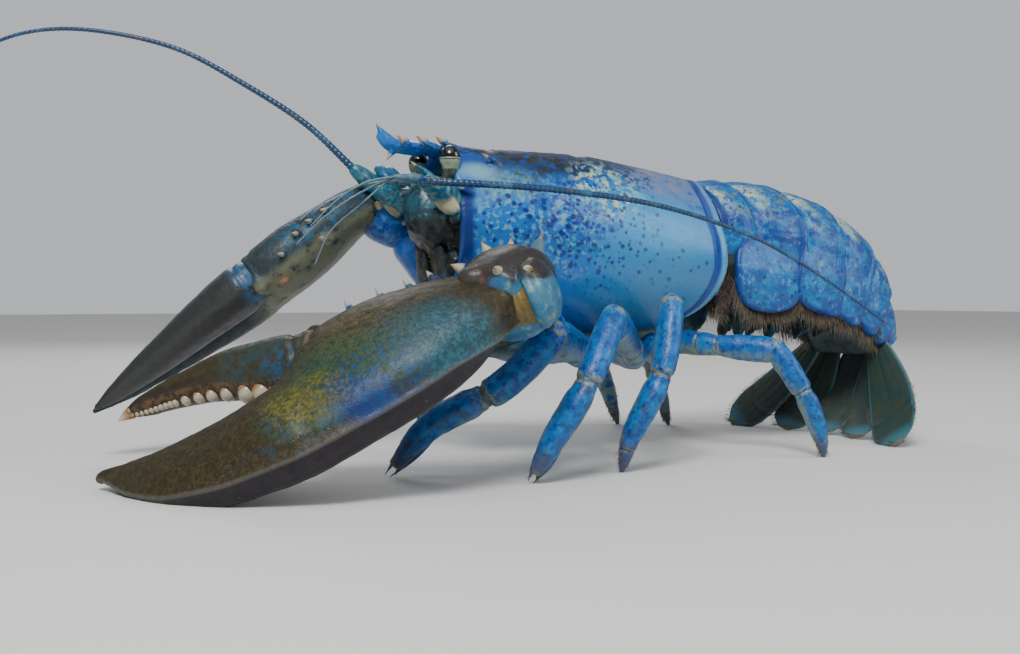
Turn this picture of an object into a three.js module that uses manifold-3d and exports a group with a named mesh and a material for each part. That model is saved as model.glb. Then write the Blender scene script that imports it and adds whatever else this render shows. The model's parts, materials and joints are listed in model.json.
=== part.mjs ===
// An american lobster at life size, as a still museum model. It stands on the floor, z = 0, with its head
// towards -X, its tail tucked under towards +X and its left side towards -Y. All lengths are in millimetres.
import * as THREE from "three";
import { mergeVertices } from "three/addons/utils/BufferGeometryUtils.js";
import Module from "manifold-3d";

const wasm = await Module();
wasm.setup();

// Driving dimensions
const GAP = 0.3; // clearance between neighbouring plates
const SHELL_FRONT = -133; // front edge of the carapace
const SHELL_REAR = -15; // middle of its rear edge
const SHELL_HALF = 33; // half of the greatest width
const TAIL_HALF = 31; // half of the width of the tail
const SPINE_SIDES = 5;
const MIDDLE = [-110.13, 7.52]; // the middle of the footprint, which becomes the origin

// Vectors and profiles
const V = (x, y, z) => new THREE.Vector3(x, y, z);
const TAU = Math.PI * 2;

// A smooth curve of one value through [place, value] knots, with no overshoot between them.
function profile(knots) {
  const slope = knots.slice(1).map(([x, y], i) => (y - knots[i][1]) / (x - knots[i][0]));
  const tangent = knots.map((_, i) => {
    if (i === 0) return slope[0];
    if (i === knots.length - 1) return slope[i - 1];
    const product = slope[i - 1] * slope[i];
    return product <= 0 ? 0 : (2 * product) / (slope[i - 1] + slope[i]);
  });
  return (t) => {
    if (t <= knots[0][0]) return knots[0][1];
    const i = knots.findIndex(([x]) => t <= x) - 1;
    if (i < -1) return knots[knots.length - 1][1];
    const [x0, y0] = knots[i];
    const [x1, y1] = knots[i + 1];
    const h = x1 - x0;
    const k = (t - x0) / h;
    const start = y0 * (1 + 2 * k) * (1 - k) ** 2 + tangent[i] * h * k * (1 - k) ** 2;
    return start + y1 * k * k * (3 - 2 * k) + tangent[i + 1] * h * k * k * (k - 1);
  };
}

// A point round a section of half sizes { left, right, under, over }: power 2 is an ellipse, more is boxier.
function sectionPoint(size, angle) {
  const c = Math.cos(angle);
  const s = Math.sin(angle);
  const bend = 2 / (size.power || 2);
  const x = Math.sign(c) * Math.abs(c) ** bend * (c > 0 ? size.right : size.left);
  const y = Math.sign(s) * Math.abs(s) ** bend * (s > 0 ? size.over : size.under);
  return [x, y];
}

// A closed skin over rings of points, each end closed by a fan.
function skin(rings) {
  const sides = rings[0].length;
  const points = rings.flat();
  const faces = [];
  rings.slice(1).forEach((_, i) => {
    for (let k = 0; k < sides; k++) {
      const a = i * sides + k;
      const b = i * sides + ((k + 1) % sides);
      faces.push(a, b, b + sides, a, b + sides, a + sides);
    }
  });
  for (const [ring, first, turn] of [
    [rings[0], 0, true],
    [rings[rings.length - 1], (rings.length - 1) * sides, false],
  ]) {
    const centre = ring.reduce((sum, p) => sum.add(p), V(0, 0, 0)).divideScalar(sides);
    const hub = points.push(centre) - 1;
    for (let k = 0; k < sides; k++) {
      const a = first + k;
      const b = first + ((k + 1) % sides);
      faces.push(...(turn ? [hub, b, a] : [hub, a, b]));
    }
  }
  return new THREE.BufferGeometry().setFromPoints(points).setIndex(faces);
}

// A body swept along a path of points. section(t) gives its half sizes, and up says which way is over.
class Sweep {
  constructor({ path, up = V(0, 0, 1), section, rings, sides, relief = () => 0 }) {
    this.curve = new THREE.CatmullRomCurve3(path, false, "centripetal");
    Object.assign(this, { up, section, rings, sides, relief });
  }
  frame(t) {
    const along = this.curve.getTangentAt(t);
    const side = V(0, 0, 0).crossVectors(along, this.up).normalize();
    return { at: this.curve.getPointAt(t), along, side, over: V(0, 0, 0).crossVectors(side, along) };
  }
  point(t, angle, grow = 0) {
    const { at, side, over } = this.frame(t);
    const size = this.section(t);
    const dip = this.relief(t, angle);
    const wider = Object.fromEntries(
      ["left", "right", "under", "over"].map((key) => [key, (size[key] ?? size.all) + grow - dip]),
    );
    const [x, y] = sectionPoint({ ...wider, power: size.power }, angle);
    return at.addScaledVector(side, x).addScaledVector(over, y);
  }
  normal(t, angle) {
    const step = 0.01;
    const p = this.point(t, angle);
    const round = this.point(t, angle + step).sub(p);
    const near = Math.min(t, 1 - step);
    const forward = this.point(near + step, angle).sub(this.point(near, angle));
    const out = V(0, 0, 0).crossVectors(round, forward).normalize();
    return out.dot(p.clone().sub(this.frame(t).at)) < 0 ? out.negate() : out;
  }
  geometry(grow = 0) {
    const rings = Array.from({ length: this.rings + 1 }, (_, i) => {
      const t = i / this.rings;
      const past = this.frame(t).along.multiplyScalar(i === 0 ? -grow : i === this.rings ? grow : 0);
      const angles = Array.from({ length: this.sides }, (_, k) => (k / this.sides) * TAU);
      return angles.map((angle) => this.point(t, angle, grow).add(past));
    });
    return skin(rings);
  }
}

// Solids
function solid(geometry) {
  const bare = new THREE.BufferGeometry().setAttribute("position", geometry.getAttribute("position"));
  bare.setIndex(geometry.index);
  const merged = mergeVertices(bare, 1e-4);
  const triVerts = new Uint32Array(merged.index.array);
  const vertProperties = new Float32Array(merged.attributes.position.array);
  const made = new wasm.Manifold(new wasm.Mesh({ numProp: 3, vertProperties, triVerts }));
  if (made.volume() > 0) return made;
  for (let i = 0; i < triVerts.length; i += 3) {
    [triVerts[i + 1], triVerts[i + 2]] = [triVerts[i + 2], triVerts[i + 1]];
  }
  return new wasm.Manifold(new wasm.Mesh({ numProp: 3, vertProperties, triVerts }));
}

const body = (sweep, grow = 0) => solid(sweep.geometry(grow));
const fuse = (...pieces) => pieces.flat().reduce((sum, piece) => sum.add(piece));

// The largest closed surface of a body, so that no loose scrap stays.
function largest(made) {
  const parts = made.decompose();
  return parts.reduce((best, part) => (part.volume() > best.volume() ? part : best));
}

function geometryOf(made) {
  const mesh = made.getMesh();
  const points = new Float32Array(mesh.numVert * 3);
  for (let i = 0; i < mesh.numVert; i++) {
    points.set(mesh.vertProperties.subarray(i * mesh.numProp, i * mesh.numProp + 3), i * 3);
  }
  const geometry = new THREE.BufferGeometry();
  geometry.setAttribute("position", new THREE.BufferAttribute(points, 3));
  return geometry.setIndex(new THREE.BufferAttribute(new Uint32Array(mesh.triVerts), 1));
}

// What lies beyond a plane through a point, in the way that normal points.
const beyond = (made, point, normal, gap = GAP / 2) =>
  made.trimByPlane(normal.toArray(), normal.dot(point) + gap);
const before = (made, point, normal) => beyond(made, point, normal.clone().negate());
const aboveFloor = (made) => made.trimByPlane([0, 0, 1], 0);

// A cone from a root to a tip, such as a spine.
function cone(root, tip, radius, sides = SPINE_SIDES) {
  const along = tip.clone().sub(root).normalize();
  const side = V(0, 0, 0).crossVectors(along, Math.abs(along.z) < 0.9 ? V(0, 0, 1) : V(1, 0, 0)).normalize();
  const over = V(0, 0, 0).crossVectors(side, along);
  const ring = (at, r) =>
    Array.from({ length: sides }, (_, k) =>
      at.clone()
        .addScaledVector(side, r * Math.cos((k / sides) * TAU))
        .addScaledVector(over, r * Math.sin((k / sides) * TAU)),
    );
  return solid(skin([ring(root, radius), ring(tip, radius * 0.12)]));
}

// A spine on a swept body, its root sunk, leaning along the path by lean.
function spine(sweep, t, angle, length, radius, lean = 0.4) {
  const at = sweep.point(t, angle);
  const normal = sweep.normal(t, angle);
  const way = normal.clone().addScaledVector(sweep.frame(t).along, lean).normalize();
  return cone(at.clone().addScaledVector(normal, -radius), at.clone().addScaledVector(way, length), radius);
}

// Carapace
const shellTop = profile([[0, 115.5], [0.2, 117.4], [0.45, 117.4], [0.75, 114], [1, 109.5]]);
const shellLow = profile([[0, 63], [0.12, 54], [0.3, 48], [0.7, 46], [0.9, 47], [1, 50]]);
const shellHalf = profile([[0, 0.6], [0.15, 0.78], [0.4, 0.94], [0.7, 1], [1, 0.93]]);
const shellWaist = profile([[0, 86], [0.4, 79], [1, 76]]);

// How far forward of SHELL_REAR the rear edge lies, from the top of the carapace to its lower edge.
const rearEdge = profile([
  [0, 2], [0.12, 5.5], [0.3, 5.9], [0.45, 4.8], [0.58, 4.6], [0.7, 6.2], [0.83, 10], [0.92, 15], [1, 22],
]);

// How deep the neck groove is at a point of the carapace's side.
function neckGroove(x, z) {
  const line = -72 - 40 * Math.min(1, Math.max(0, (118 - z) / 46)) ** 0.8;
  return z < 66 ? 0 : 1.3 * Math.exp(-(((x - line) / 3) ** 2));
}

function shellPoint(s, angle, grow = 0) {
  const [top, low, waist] = [shellTop(s), shellLow(s), shellWaist(s)];
  const half = shellHalf(s) * SHELL_HALF;
  const power = Math.sin(angle) > 0 ? 2.05 : 2.35;
  const size = { left: half, right: half, over: top - waist, under: waist - low, power };
  const [y, up] = sectionPoint(size, angle);
  const z = waist + up;
  const rear = SHELL_REAR - rearEdge((top - z) / (top - low));
  const x = SHELL_FRONT + (rear - SHELL_FRONT) * s;
  const dip = neckGroove(x, z) + 0.9 * Math.exp(-(((x - rear + 6) / 1.6) ** 2)) - grow;
  const out = V(0, y, z - waist).normalize();
  return V(x, y, z).addScaledVector(out, -dip);
}

function carapaceShell(grow = 0) {
  const [rings, sides] = [24, 22];
  return solid(
    skin(
      Array.from({ length: rings + 1 }, (_, i) =>
        Array.from({ length: sides }, (_, k) => {
          const s = i / rings;
          const p = shellPoint(s, (k / sides) * TAU, grow);
          return s === 0 ? p.add(V(-grow, 0, 0)) : s === 1 ? p.add(V(grow, 0, 0)) : p;
        }),
      ),
    ),
  );
}

const rostrumSweep = new Sweep({
  path: [V(-108, 0, 113), V(-128, 0, 115.2), V(-142, 0, 116.2), V(-151, 0, 117.2), V(-157, 0, 123.4)],
  section: (t) => {
    const half = profile([[0, 9], [0.35, 9.5], [0.6, 6.5], [0.85, 3.2], [1, 0.6]])(t);
    const thick = profile([[0, 3.6], [0.35, 2.8], [0.6, 2.2], [0.85, 2.4], [1, 0.5]])(t);
    return { left: half, right: half, over: thick, under: thick, power: 1.7 };
  },
  rings: 14,
  sides: 10,
});

function rostrum() {
  const pieces = [body(rostrumSweep), cone(V(-149, 0, 117), V(-153, 0, 111.2), 2.2)];
  for (const side of [-1, 1]) {
    for (const [x, y, length] of [[-131, 8.6, 7], [-138, 7, 7], [-145, 4.6, 6.5]]) {
      const root = V(x, side * (y - 2), 116.4);
      pieces.push(cone(root, root.clone().add(V(-length, side * 3.2, 2.9)), 1.6));
    }
    pieces.push(cone(V(-117, side * 14.5, 110), V(-123.5, side * 17.5, 113.5), 1.9)); // behind the eye
  }
  return pieces;
}

// Abdomen. Its path is the mid line of the tail, and the rings are cut square to it.
const tailPath = new THREE.CatmullRomCurve3(
  [V(-22, 0, 86), V(0, 0, 87), V(24, 0, 84), V(48, 0, 77), V(65, 0, 66), V(75, 0, 52), V(82, 0, 36)],
  false,
  "centripetal",
);
const tailJoints = [0.045, 0.125, 0.29, 0.475, 0.65, 0.8, 0.965];
const tailSlants = [0, 0.015, 0.045, 0.04, 0.03, 0.02, 0]; // how much further back a joint lies on the flank
const tailHalf = profile([[0, 0.86], [0.12, 0.92], [0.3, 1], [0.6, 0.96], [0.85, 0.78], [1, 0.66]]);
const tailOver = profile([[0, 22.5], [0.17, 23.6], [0.4, 24], [0.7, 21], [0.9, 15.5], [1, 11]]);
const bellyDepth = profile([[0, 17], [0.17, 24], [0.4, 24], [0.6, 20], [0.85, 13], [1, 10]]);

// The side lobes of the tail rings: the middle of each, its half length and depth, and its lean in degrees.
const pleura = [
  null,
  { x: 3, z: 71, half: 18, deep: 15.6, lean: 2 },
  { x: 30, z: 70.5, half: 13.5, deep: 15, lean: 14 },
  { x: 46.5, z: 66.5, half: 12.5, deep: 14, lean: 28 },
  { x: 61.5, z: 60.5, half: 11.5, deep: 12, lean: 40 },
  { x: 72.5, z: 51.5, half: 8.5, deep: 8, lean: 56 },
];

function tailFrame(t) {
  const along = tailPath.getTangentAt(Math.min(1, t));
  const up = V(0, 1, 0).cross(along).negate().normalize();
  return { at: tailPath.getPointAt(Math.min(1, t)), along, up };
}

function tailPoint(t, y, z) {
  const { at, up } = tailFrame(t);
  return at.addScaledVector(up, z).add(V(0, y, 0));
}

// Where a joint lies along the tail, for an angle from the middle of the back to the flank.
const jointAt = (index, angle) =>
  tailJoints[index] + tailSlants[index] * (1 - Math.cos(Math.min(angle, Math.PI / 2)));

// A tail ring's outline from the middle of the back to the middle of the belly, for one place u along it.
function hoopHalf(index, u, grow) {
  return [0, 20, 40, 60, 77, 90, 118, 152, 180].map((degrees) => {
    const angle = (degrees / 180) * Math.PI;
    const t = jointAt(index, angle) * (1 - u) + jointAt(index + 1, angle) * u;
    const step = 1.6 * (1 - Math.max(0, u)) ** 2 - grow; // the front edge is tucked under the ring before
    const half = tailHalf(t) * TAIL_HALF - step;
    const high = degrees < 90 ? tailOver(t) - step : bellyDepth(t) + grow;
    const power = degrees < 90 ? 0.94 : 0.6;
    const s = Math.sin(angle) ** power;
    const c = Math.sign(Math.cos(angle)) * Math.abs(Math.cos(angle)) ** power;
    return [t, degrees === 180 ? 0 : half * s, high * c];
  });
}

// A side lobe: a thin plate, thickest in the middle.
function pleuron(index, side, grow) {
  const { x, z, half, deep, lean } = pleura[index];
  const t = (tailJoints[index] + tailJoints[index + 1]) / 2;
  const turn = (lean / 180) * Math.PI;
  const flank = tailHalf(t) * TAIL_HALF;
  const rings = [[-3, 0.8], [-1.2, 1], [0.4, 0.98], [1.5, 0.8]].map(([out, share]) =>
    Array.from({ length: 12 }, (_, k) => {
      const [wide, thick] = [half + grow, deep + grow];
      const size = { left: wide, right: wide, over: thick, under: thick, power: 2.7 };
      const [a, b] = sectionPoint(size, (k / 12) * TAU).map((v) => v * share);
      const y = side * (flank + out * (1 + grow));
      return V(x + a * Math.cos(turn) + b * Math.sin(turn), y, z - a * Math.sin(turn) + b * Math.cos(turn));
    }),
  );
  return solid(skin(rings));
}

function tailRing(index, grow = 0) {
  const start = index > 0 && !grow ? -0.12 : 0;
  const end = 1 + grow * 0.05;
  const rings = [start, 0.12, 0.6, end].map((u) => {
    const line = hoopHalf(index, u, grow);
    const right = line.map(([t, y, z]) => tailPoint(t, y, z));
    const left = line.slice(1, -1).reverse().map(([t, y, z]) => tailPoint(t, -y, z));
    return [...right, ...left];
  });
  const ring = solid(skin(rings));
  return pleura[index] ? fuse(ring, pleuron(index, -1, grow), pleuron(index, 1, grow)) : ring;
}

// A swimmeret: a narrow stalk with a leaf, hanging from the belly.
function swimmeret(index, side) {
  const t = (tailJoints[index] + tailJoints[index + 1]) / 2;
  const length = 24 - index * 1.5;
  const { up, along } = tailFrame(t);
  const root = tailPoint(t, side * 14, 4 - bellyDepth(t));
  const end = root.clone().addScaledVector(up, -length).addScaledVector(along, -1).add(V(0, side * 1.5, 0));
  const middle = root.clone().lerp(end, 0.4);
  return body(
    new Sweep({
      path: [root, middle, end],
      up: along,
      section: (k) => {
        const half = profile([[0, 2], [0.25, 2], [0.6, 5.4], [0.85, 4.6], [1, 1.2]])(k);
        return { left: half, right: half, over: 0.8, under: 0.8 };
      },
      rings: 3,
      sides: 6,
    }),
  );
}

// A flat plate of the tail fan, from its root to its rim.
function fanPlate({ root, rim, facing, half, thick, bow }) {
  const middle = root.clone().lerp(rim, 0.5).addScaledVector(facing, bow);
  return new Sweep({
    path: [root, middle, rim],
    up: facing,
    section: (t) => {
      const share = profile([[0, 0.38], [0.15, 0.62], [0.5, 0.94], [0.75, 1], [0.92, 0.78], [1, 0.34]])(t);
      const wide = half * share;
      const deep = thick * profile([[0, 1.5], [0.3, 1], [1, 0.45]])(t);
      return { left: wide, right: wide, over: deep, under: deep, power: 2.2 };
    },
    rings: 8,
    sides: 10,
  });
}

const fanPlates = {
  telson: { root: V(84, 0, 41), rim: V(59, 0, 1), facing: V(-0.86, 0, 0.5), half: 14, thick: 1.7, bow: -3 },
};
for (const [name, side] of [["left", -1], ["right", 1]]) {
  fanPlates[`uropod_${name}_inner`] = {
    root: V(80, side * 13, 39), rim: V(58, side * 23, 1), facing: V(-0.86, -side * 0.08, 0.5),
    half: 12.5, thick: 1.4, bow: -3,
  };
  fanPlates[`uropod_${name}_outer`] = {
    root: V(75, side * 18, 41), rim: V(51.5, side * 51.5, 0.5), facing: V(-0.9, -side * 0.05, 0.43),
    half: 11.8, thick: 1.4, bow: -2.5,
  };
}

// Walking legs. Each row gives the points that a leg passes through, from its root to its tip.
const legs = {
  leg2_left: {
    root: V(-76, -14, 41), hip: V(-84, -32, 38), knee: V(-116, -55, 49),
    wrist: V(-131, -47, 32), end: V(-153, -33, 17), tip: V(-165, -25, 0),
    thick: 1.1, pincer: true,
  },
  leg3_left: {
    root: V(-61, -14, 41), hip: V(-66, -32, 40), knee: V(-98, -64, 54.5),
    wrist: V(-114, -71, 32), end: V(-125, -66, 12), tip: V(-130, -62, 0),
    thick: 1.05, pincer: true,
  },
  leg4_left: {
    root: V(-46, -14, 42), hip: V(-50, -30, 39), knee: V(-68, -57, 58.5),
    wrist: V(-76, -62, 35), end: V(-87, -58, 11), tip: V(-88, -55, 0),
    thick: 1, pincer: false,
  },
  leg5_left: {
    root: V(-31, -12, 44), hip: V(-28, -27, 43), knee: V(-12, -50, 41),
    wrist: V(-5, -58, 24), end: V(2, -60, 6), tip: V(3, -60, 0),
    thick: 0.9, pincer: false,
  },
  leg2_right: {
    root: V(-76, 14, 41), hip: V(-84, 33, 41), knee: V(-112, 66, 54),
    wrist: V(-136, 84, 33), end: V(-152, 92, 13), tip: V(-158, 94, 0),
    thick: 1.15, pincer: true,
  },
  leg3_right: {
    root: V(-61, 14, 41), hip: V(-64, 32, 40), knee: V(-78, 66, 56),
    wrist: V(-88, 82, 33), end: V(-94, 88, 12), tip: V(-97, 90, 0),
    thick: 1.05, pincer: true,
  },
  leg4_right: {
    root: V(-46, 14, 42), hip: V(-45, 30, 39), knee: V(-32, 60, 55),
    wrist: V(-16, 72, 38), end: V(-2, 79, 17), tip: V(6, 82, 0),
    thick: 1, pincer: false,
  },
  leg5_right: {
    root: V(-31, 12, 44), hip: V(-28, 27, 43), knee: V(-6, 52, 44),
    wrist: V(12, 62, 27), end: V(22, 66, 8), tip: V(25, 67, 0),
    thick: 0.9, pincer: false,
  },
};

function legUpper(leg) {
  const size = profile([[0, 5.6], [0.3, 5.3], [0.45, 4.5], [0.62, 5.6], [0.85, 5.8], [1, 4.2]]);
  const beyondKnee = leg.knee.clone().addScaledVector(leg.knee.clone().sub(leg.hip).normalize(), 4);
  return new Sweep({
    path: [leg.root, leg.hip, leg.hip.clone().lerp(leg.knee, 0.6), beyondKnee],
    section: (t) => {
      const [wide, high] = [size(t) * leg.thick * 0.82, size(t) * leg.thick];
      return { left: wide, right: wide, over: high, under: high };
    },
    rings: 6,
    sides: 8,
  });
}

function legLower(leg) {
  const back = leg.knee.clone().addScaledVector(leg.knee.clone().sub(leg.wrist).normalize(), 3.5);
  const size = profile([
    [0, 4.3], [0.12, 5.4], [0.38, 5.1], [0.46, 4.2], [0.52, 4.9],
    [0.75, 4.3], [0.86, 3.2], [0.94, 2.2], [1, 0.9],
  ]);
  return new Sweep({
    path: [back, leg.wrist, leg.end, leg.tip],
    up: V(1, 0, 0.2),
    section: (t) => {
      const [wide, high] = [size(t) * leg.thick, size(t) * leg.thick * 0.85];
      return { left: wide, right: wide, over: high, under: high };
    },
    rings: 9,
    sides: 7,
  });
}

function walkingLeg(leg) {
  const thigh = leg.knee.clone().sub(leg.hip).normalize();
  const bend = thigh.add(leg.wrist.clone().sub(leg.knee).normalize()).normalize();
  const upper = before(body(legUpper(leg)), leg.knee, bend);
  let lower = body(legLower(leg));
  if (leg.pincer) {
    const along = leg.tip.clone().sub(leg.end).normalize();
    const across = V(0, 0, 0).crossVectors(along, V(0, 1, 0)).normalize();
    const root = leg.end.clone().addScaledVector(across, 2.4);
    lower = fuse(lower, cone(root, leg.tip.clone().addScaledVector(across, 3.2), 2, 6));
  }
  return [upper, aboveFloor(beyond(lower, leg.knee, bend))];
}

// Claws. A claw's own frame: its axis runs from the wrist to the tip of the fixed finger.
// Across points from the outer edge to the edge that carries the moving finger, and the back faces up.
function clawFrame(wrist, tip, across) {
  const axis = tip.clone().sub(wrist).normalize();
  const side = across.clone().addScaledVector(axis, -across.dot(axis)).normalize();
  const back = V(0, 0, 0).crossVectors(axis, side);
  return { wrist, axis, side, back: back.z < 0 ? back.negate() : back, length: tip.distanceTo(wrist) };
}

// A body along a claw. Its edges, outer and inner, may both lie on one side of the axis.
// Flat is the share of its thickness that lies on the belly side.
function clawBody({
  frame, from, to, outer, inner, thick, flat = 1, power = 2.3, rings, sides, grow = 0,
}) {
  const made = Array.from({ length: rings + 1 }, (_, i) => {
    const s = from + ((to - from) * i) / rings;
    const middle = (outer(s) + inner(s)) / 2;
    const half = (inner(s) - outer(s)) / 2 + grow;
    const size = {
      left: half, right: half, over: thick(s) + grow, under: thick(s) * flat + grow, power,
    };
    return Array.from({ length: sides }, (_, k) => {
      const [across, up] = sectionPoint(size, (k / sides) * TAU);
      return clawPlace(frame, s, middle + across, up);
    });
  });
  return solid(skin(made));
}

function clawPlace(frame, s, across, up) {
  return frame.wrist
    .clone()
    .addScaledVector(frame.axis, s * frame.length)
    .addScaledVector(frame.side, across)
    .addScaledVector(frame.back, up);
}

const crusherFrame = clawFrame(V(-147, -78, 59), V(-254, -6, 4), V(0.295, 0.816, 0.533));
const cutterFrame = clawFrame(V(-146, 28, 100), V(-240, 74, 19), V(-0.461, -0.865, 0.13));

const crusher = {
  outer: profile([
    [0, -8], [0.06, -16.5], [0.18, -28], [0.35, -35.5], [0.5, -40],
    [0.65, -39], [0.8, -32], [0.92, -18], [1, -3],
  ]),
  inner: profile([
    [0, 8], [0.06, 15], [0.18, 21], [0.35, 24], [0.455, 23], [0.5, 7],
    [0.56, 0], [0.8, -3], [0.92, -1], [1, 3],
  ]),
  thick: profile([[0, 9], [0.1, 14], [0.28, 17], [0.5, 14], [0.7, 10], [0.9, 6], [1, 2.4]]),
};
const crusherDactyl = {
  outer: profile([[0.44, 4], [0.5, 4], [0.58, 7], [0.72, 19], [0.83, 25], [0.93, 28], [0.965, 30]]),
  inner: profile([[0.44, 19], [0.48, 24], [0.58, 31], [0.7, 36], [0.83, 35], [0.93, 33], [0.965, 32]]),
  thick: profile([[0.44, 9], [0.5, 11.5], [0.6, 10.5], [0.8, 7], [0.93, 4], [0.965, 1.5]]),
};
const cutter = {
  outer: profile([
    [0, -7], [0.06, -13], [0.2, -20], [0.4, -22], [0.55, -20],
    [0.7, -16], [0.85, -10], [0.95, -5], [1, -1],
  ]),
  inner: profile([
    [0, 7], [0.06, 13], [0.2, 20], [0.34, 22], [0.4, 20], [0.45, 3],
    [0.56, -2], [0.75, -4], [0.9, -3], [1, 1],
  ]),
  thick: profile([[0, 7.5], [0.1, 8.8], [0.28, 11.4], [0.48, 10.3], [0.7, 7.3], [0.9, 4.2], [1, 1.4]]),
};
const cutterDactyl = {
  outer: profile([[0.38, 2], [0.46, 1], [0.6, 0.5], [0.75, -1.5], [0.9, -1], [0.99, 1.5]]),
  inner: profile([[0.38, 18], [0.45, 22], [0.58, 20], [0.75, 14], [0.9, 8], [0.99, 3.5]]),
  thick: profile([[0.38, 7.5], [0.46, 9.2], [0.6, 8], [0.8, 5.5], [0.93, 3], [0.99, 1]]),
};

// Teeth along the biting edge of a finger: round grinders near the hinge and small beads towards the tip.
function teeth({ frame, edge, way, from, to, count, size }) {
  return Array.from({ length: count }, (_, i) => {
    const k = i / (count - 1);
    const s = from + (to - from) * k;
    const r = size(k);
    const root = clawPlace(frame, s, edge(s) - way * r * 0.8, 0);
    const tip = clawPlace(frame, s, edge(s) + way * r * 1.1, 0);
    const along = tip.clone().sub(root);
    const bead = new THREE.IcosahedronGeometry(r, 0).applyMatrix4(
      new THREE.Matrix4().setPosition(root.addScaledVector(along, 0.45)),
    );
    return solid(bead);
  });
}

// Spines on the inner edge of a claw, at places [along, up]. They point out and towards the tip.
function clawSpines(frame, inner, places, size) {
  return places.map(([s, up]) => {
    const root = clawPlace(frame, s, inner(s) - size * 0.8, up);
    const tip = clawPlace(frame, s + 0.02, inner(s) + size, up + size * 0.35);
    return cone(root, tip, size * 0.48);
  });
}

function crusherPalm(grow = 0) {
  const shape = { frame: crusherFrame, from: 0, to: 1, rings: 18, sides: 12, flat: 0.52, power: 2.35 };
  const palm = clawBody({ ...shape, ...crusher, grow });
  if (grow) return palm;
  const spines = clawSpines(crusherFrame, crusher.inner, [[0.13, 7], [0.19, 6], [0.26, 6], [0.34, 6]], 5.5);
  const beads = teeth({
    frame: crusherFrame, edge: crusher.inner, way: 1,
    from: 0.6, to: 0.95, count: 8, size: (k) => 4.2 - 2.4 * k,
  });
  return fuse(palm, spines, beads);
}

function crusherFinger(grow = 0) {
  const shape = { frame: crusherFrame, from: 0.44, to: 0.965, rings: 12, sides: 10, flat: 0.75, power: 2.1 };
  const finger = clawBody({ ...shape, ...crusherDactyl, grow });
  if (grow) return finger;
  const beads = teeth({
    frame: crusherFrame, edge: crusherDactyl.outer, way: -1,
    from: 0.58, to: 0.94, count: 9, size: (k) => 4.2 - 2.6 * k,
  });
  return fuse(finger, beads);
}

function cutterPalm(grow = 0) {
  const shape = { frame: cutterFrame, from: 0, to: 1, rings: 16, sides: 12, power: 2.3 };
  const palm = clawBody({ ...shape, ...cutter, grow });
  if (grow) return palm;
  const places = [[0.12, 2.4], [0.17, 2], [0.22, 1], [0.285, -2], [0.17, -6]];
  const spines = clawSpines(cutterFrame, cutter.inner, places, 4.2);
  return fuse(palm, spines);
}

function cutterFinger(grow = 0) {
  const shape = { frame: cutterFrame, from: 0.38, to: 0.99, rings: 12, sides: 10, power: 2.1 };
  return clawBody({ ...shape, ...cutterDactyl, grow });
}

// Arms. Each carries its claw on an ischium, a merus and a carpus.
const arms = {
  left: {
    root: V(-92, -15, 44), ischium: V(-105, -31, 50), elbow: V(-130, -60.5, 65),
    carpus: [V(-129, -62, 65), V(-138, -68, 65), V(-148, -73, 61.5), V(-153, -75, 58)],
    bulk: 1,
    flat: 0.86,
    spines: [
      V(-148.4, -64.4, 78), V(-141, -68.8, 79), V(-150.7, -77, 69.8),
      V(-139.7, -79.8, 69.5), V(-139.1, -83.2, 60.8), V(-157.2, -61.1, 71.5),
    ],
    crest: V(-131.3, -72, 82),
  },
  right: {
    root: V(-92, 15, 44), ischium: V(-104, 27, 50), elbow: V(-130, 30, 86),
    carpus: [V(-129, 32, 84), V(-135, 32, 91), V(-142, 31, 98), V(-147, 29, 102.5)],
    bulk: 0.74,
    flat: 1,
    spines: [V(-148.5, 19, 97), V(-141, 19.5, 99), V(-136, 21, 90)],
    crest: V(-127.5, 22, 96),
  },
};

// A spine that ends at a point of the world, rooted towards the middle of what it grows on.
function spineAt(tip, middle, length, radius, grow = 0) {
  const way = tip.clone().sub(middle).normalize();
  const root = tip.clone().addScaledVector(way, -length - grow);
  return cone(root, tip.clone().addScaledVector(way, 1.5 + grow), radius + 2 * grow);
}

const armIschium = (arm) =>
  new Sweep({
    path: [arm.root, arm.root.clone().lerp(arm.ischium, 0.55), arm.ischium],
    section: (t) => ({ all: profile([[0, 8], [0.5, 8.6], [1, 8]])(t) }),
    rings: 5,
    sides: 10,
  });

const armMerus = (arm) =>
  new Sweep({
    path: [arm.ischium, arm.ischium.clone().lerp(arm.elbow, 0.5), arm.elbow],
    up: V(-0.3, 0, 1),
    section: (t) => ({
      left: profile([[0, 7], [0.4, 7.5], [0.9, 8.8], [1, 7.5]])(t),
      right: profile([[0, 6], [0.4, 6], [0.9, 7], [1, 7]])(t),
      over: profile([[0, 7], [0.4, 8], [0.9, 10.5], [1, 9]])(t),
      under: profile([[0, 7], [0.4, 8], [0.9, 9.5], [1, 8]])(t),
      power: 2.2,
    }),
    rings: 9,
    sides: 12,
  });

const armCarpus = (arm) =>
  new Sweep({
    path: arm.carpus,
    section: (t) => {
      const size = arm.bulk * profile([[0, 8], [0.15, 12], [0.5, 16.5], [0.85, 15], [1, 9]])(t);
      return { left: size * 0.9, right: size * 0.9, over: size * arm.flat, under: size, power: 2.3 };
    },
    rings: 9,
    sides: 14,
  });

// Head parts
const faceSweep = new Sweep({
  path: [V(-128, 0, 93), V(-133, 0, 94), V(-138, 0, 97), V(-141, 0, 100)],
  section: (t) => ({
    left: profile([[0, 17], [0.5, 13], [1, 6]])(t),
    right: profile([[0, 17], [0.5, 13], [1, 6]])(t),
    over: profile([[0, 17], [0.5, 14], [1, 8]])(t),
    under: profile([[0, 22], [0.5, 14], [1, 5]])(t),
    power: 2.3,
  }),
  rings: 6,
  sides: 14,
});

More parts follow.
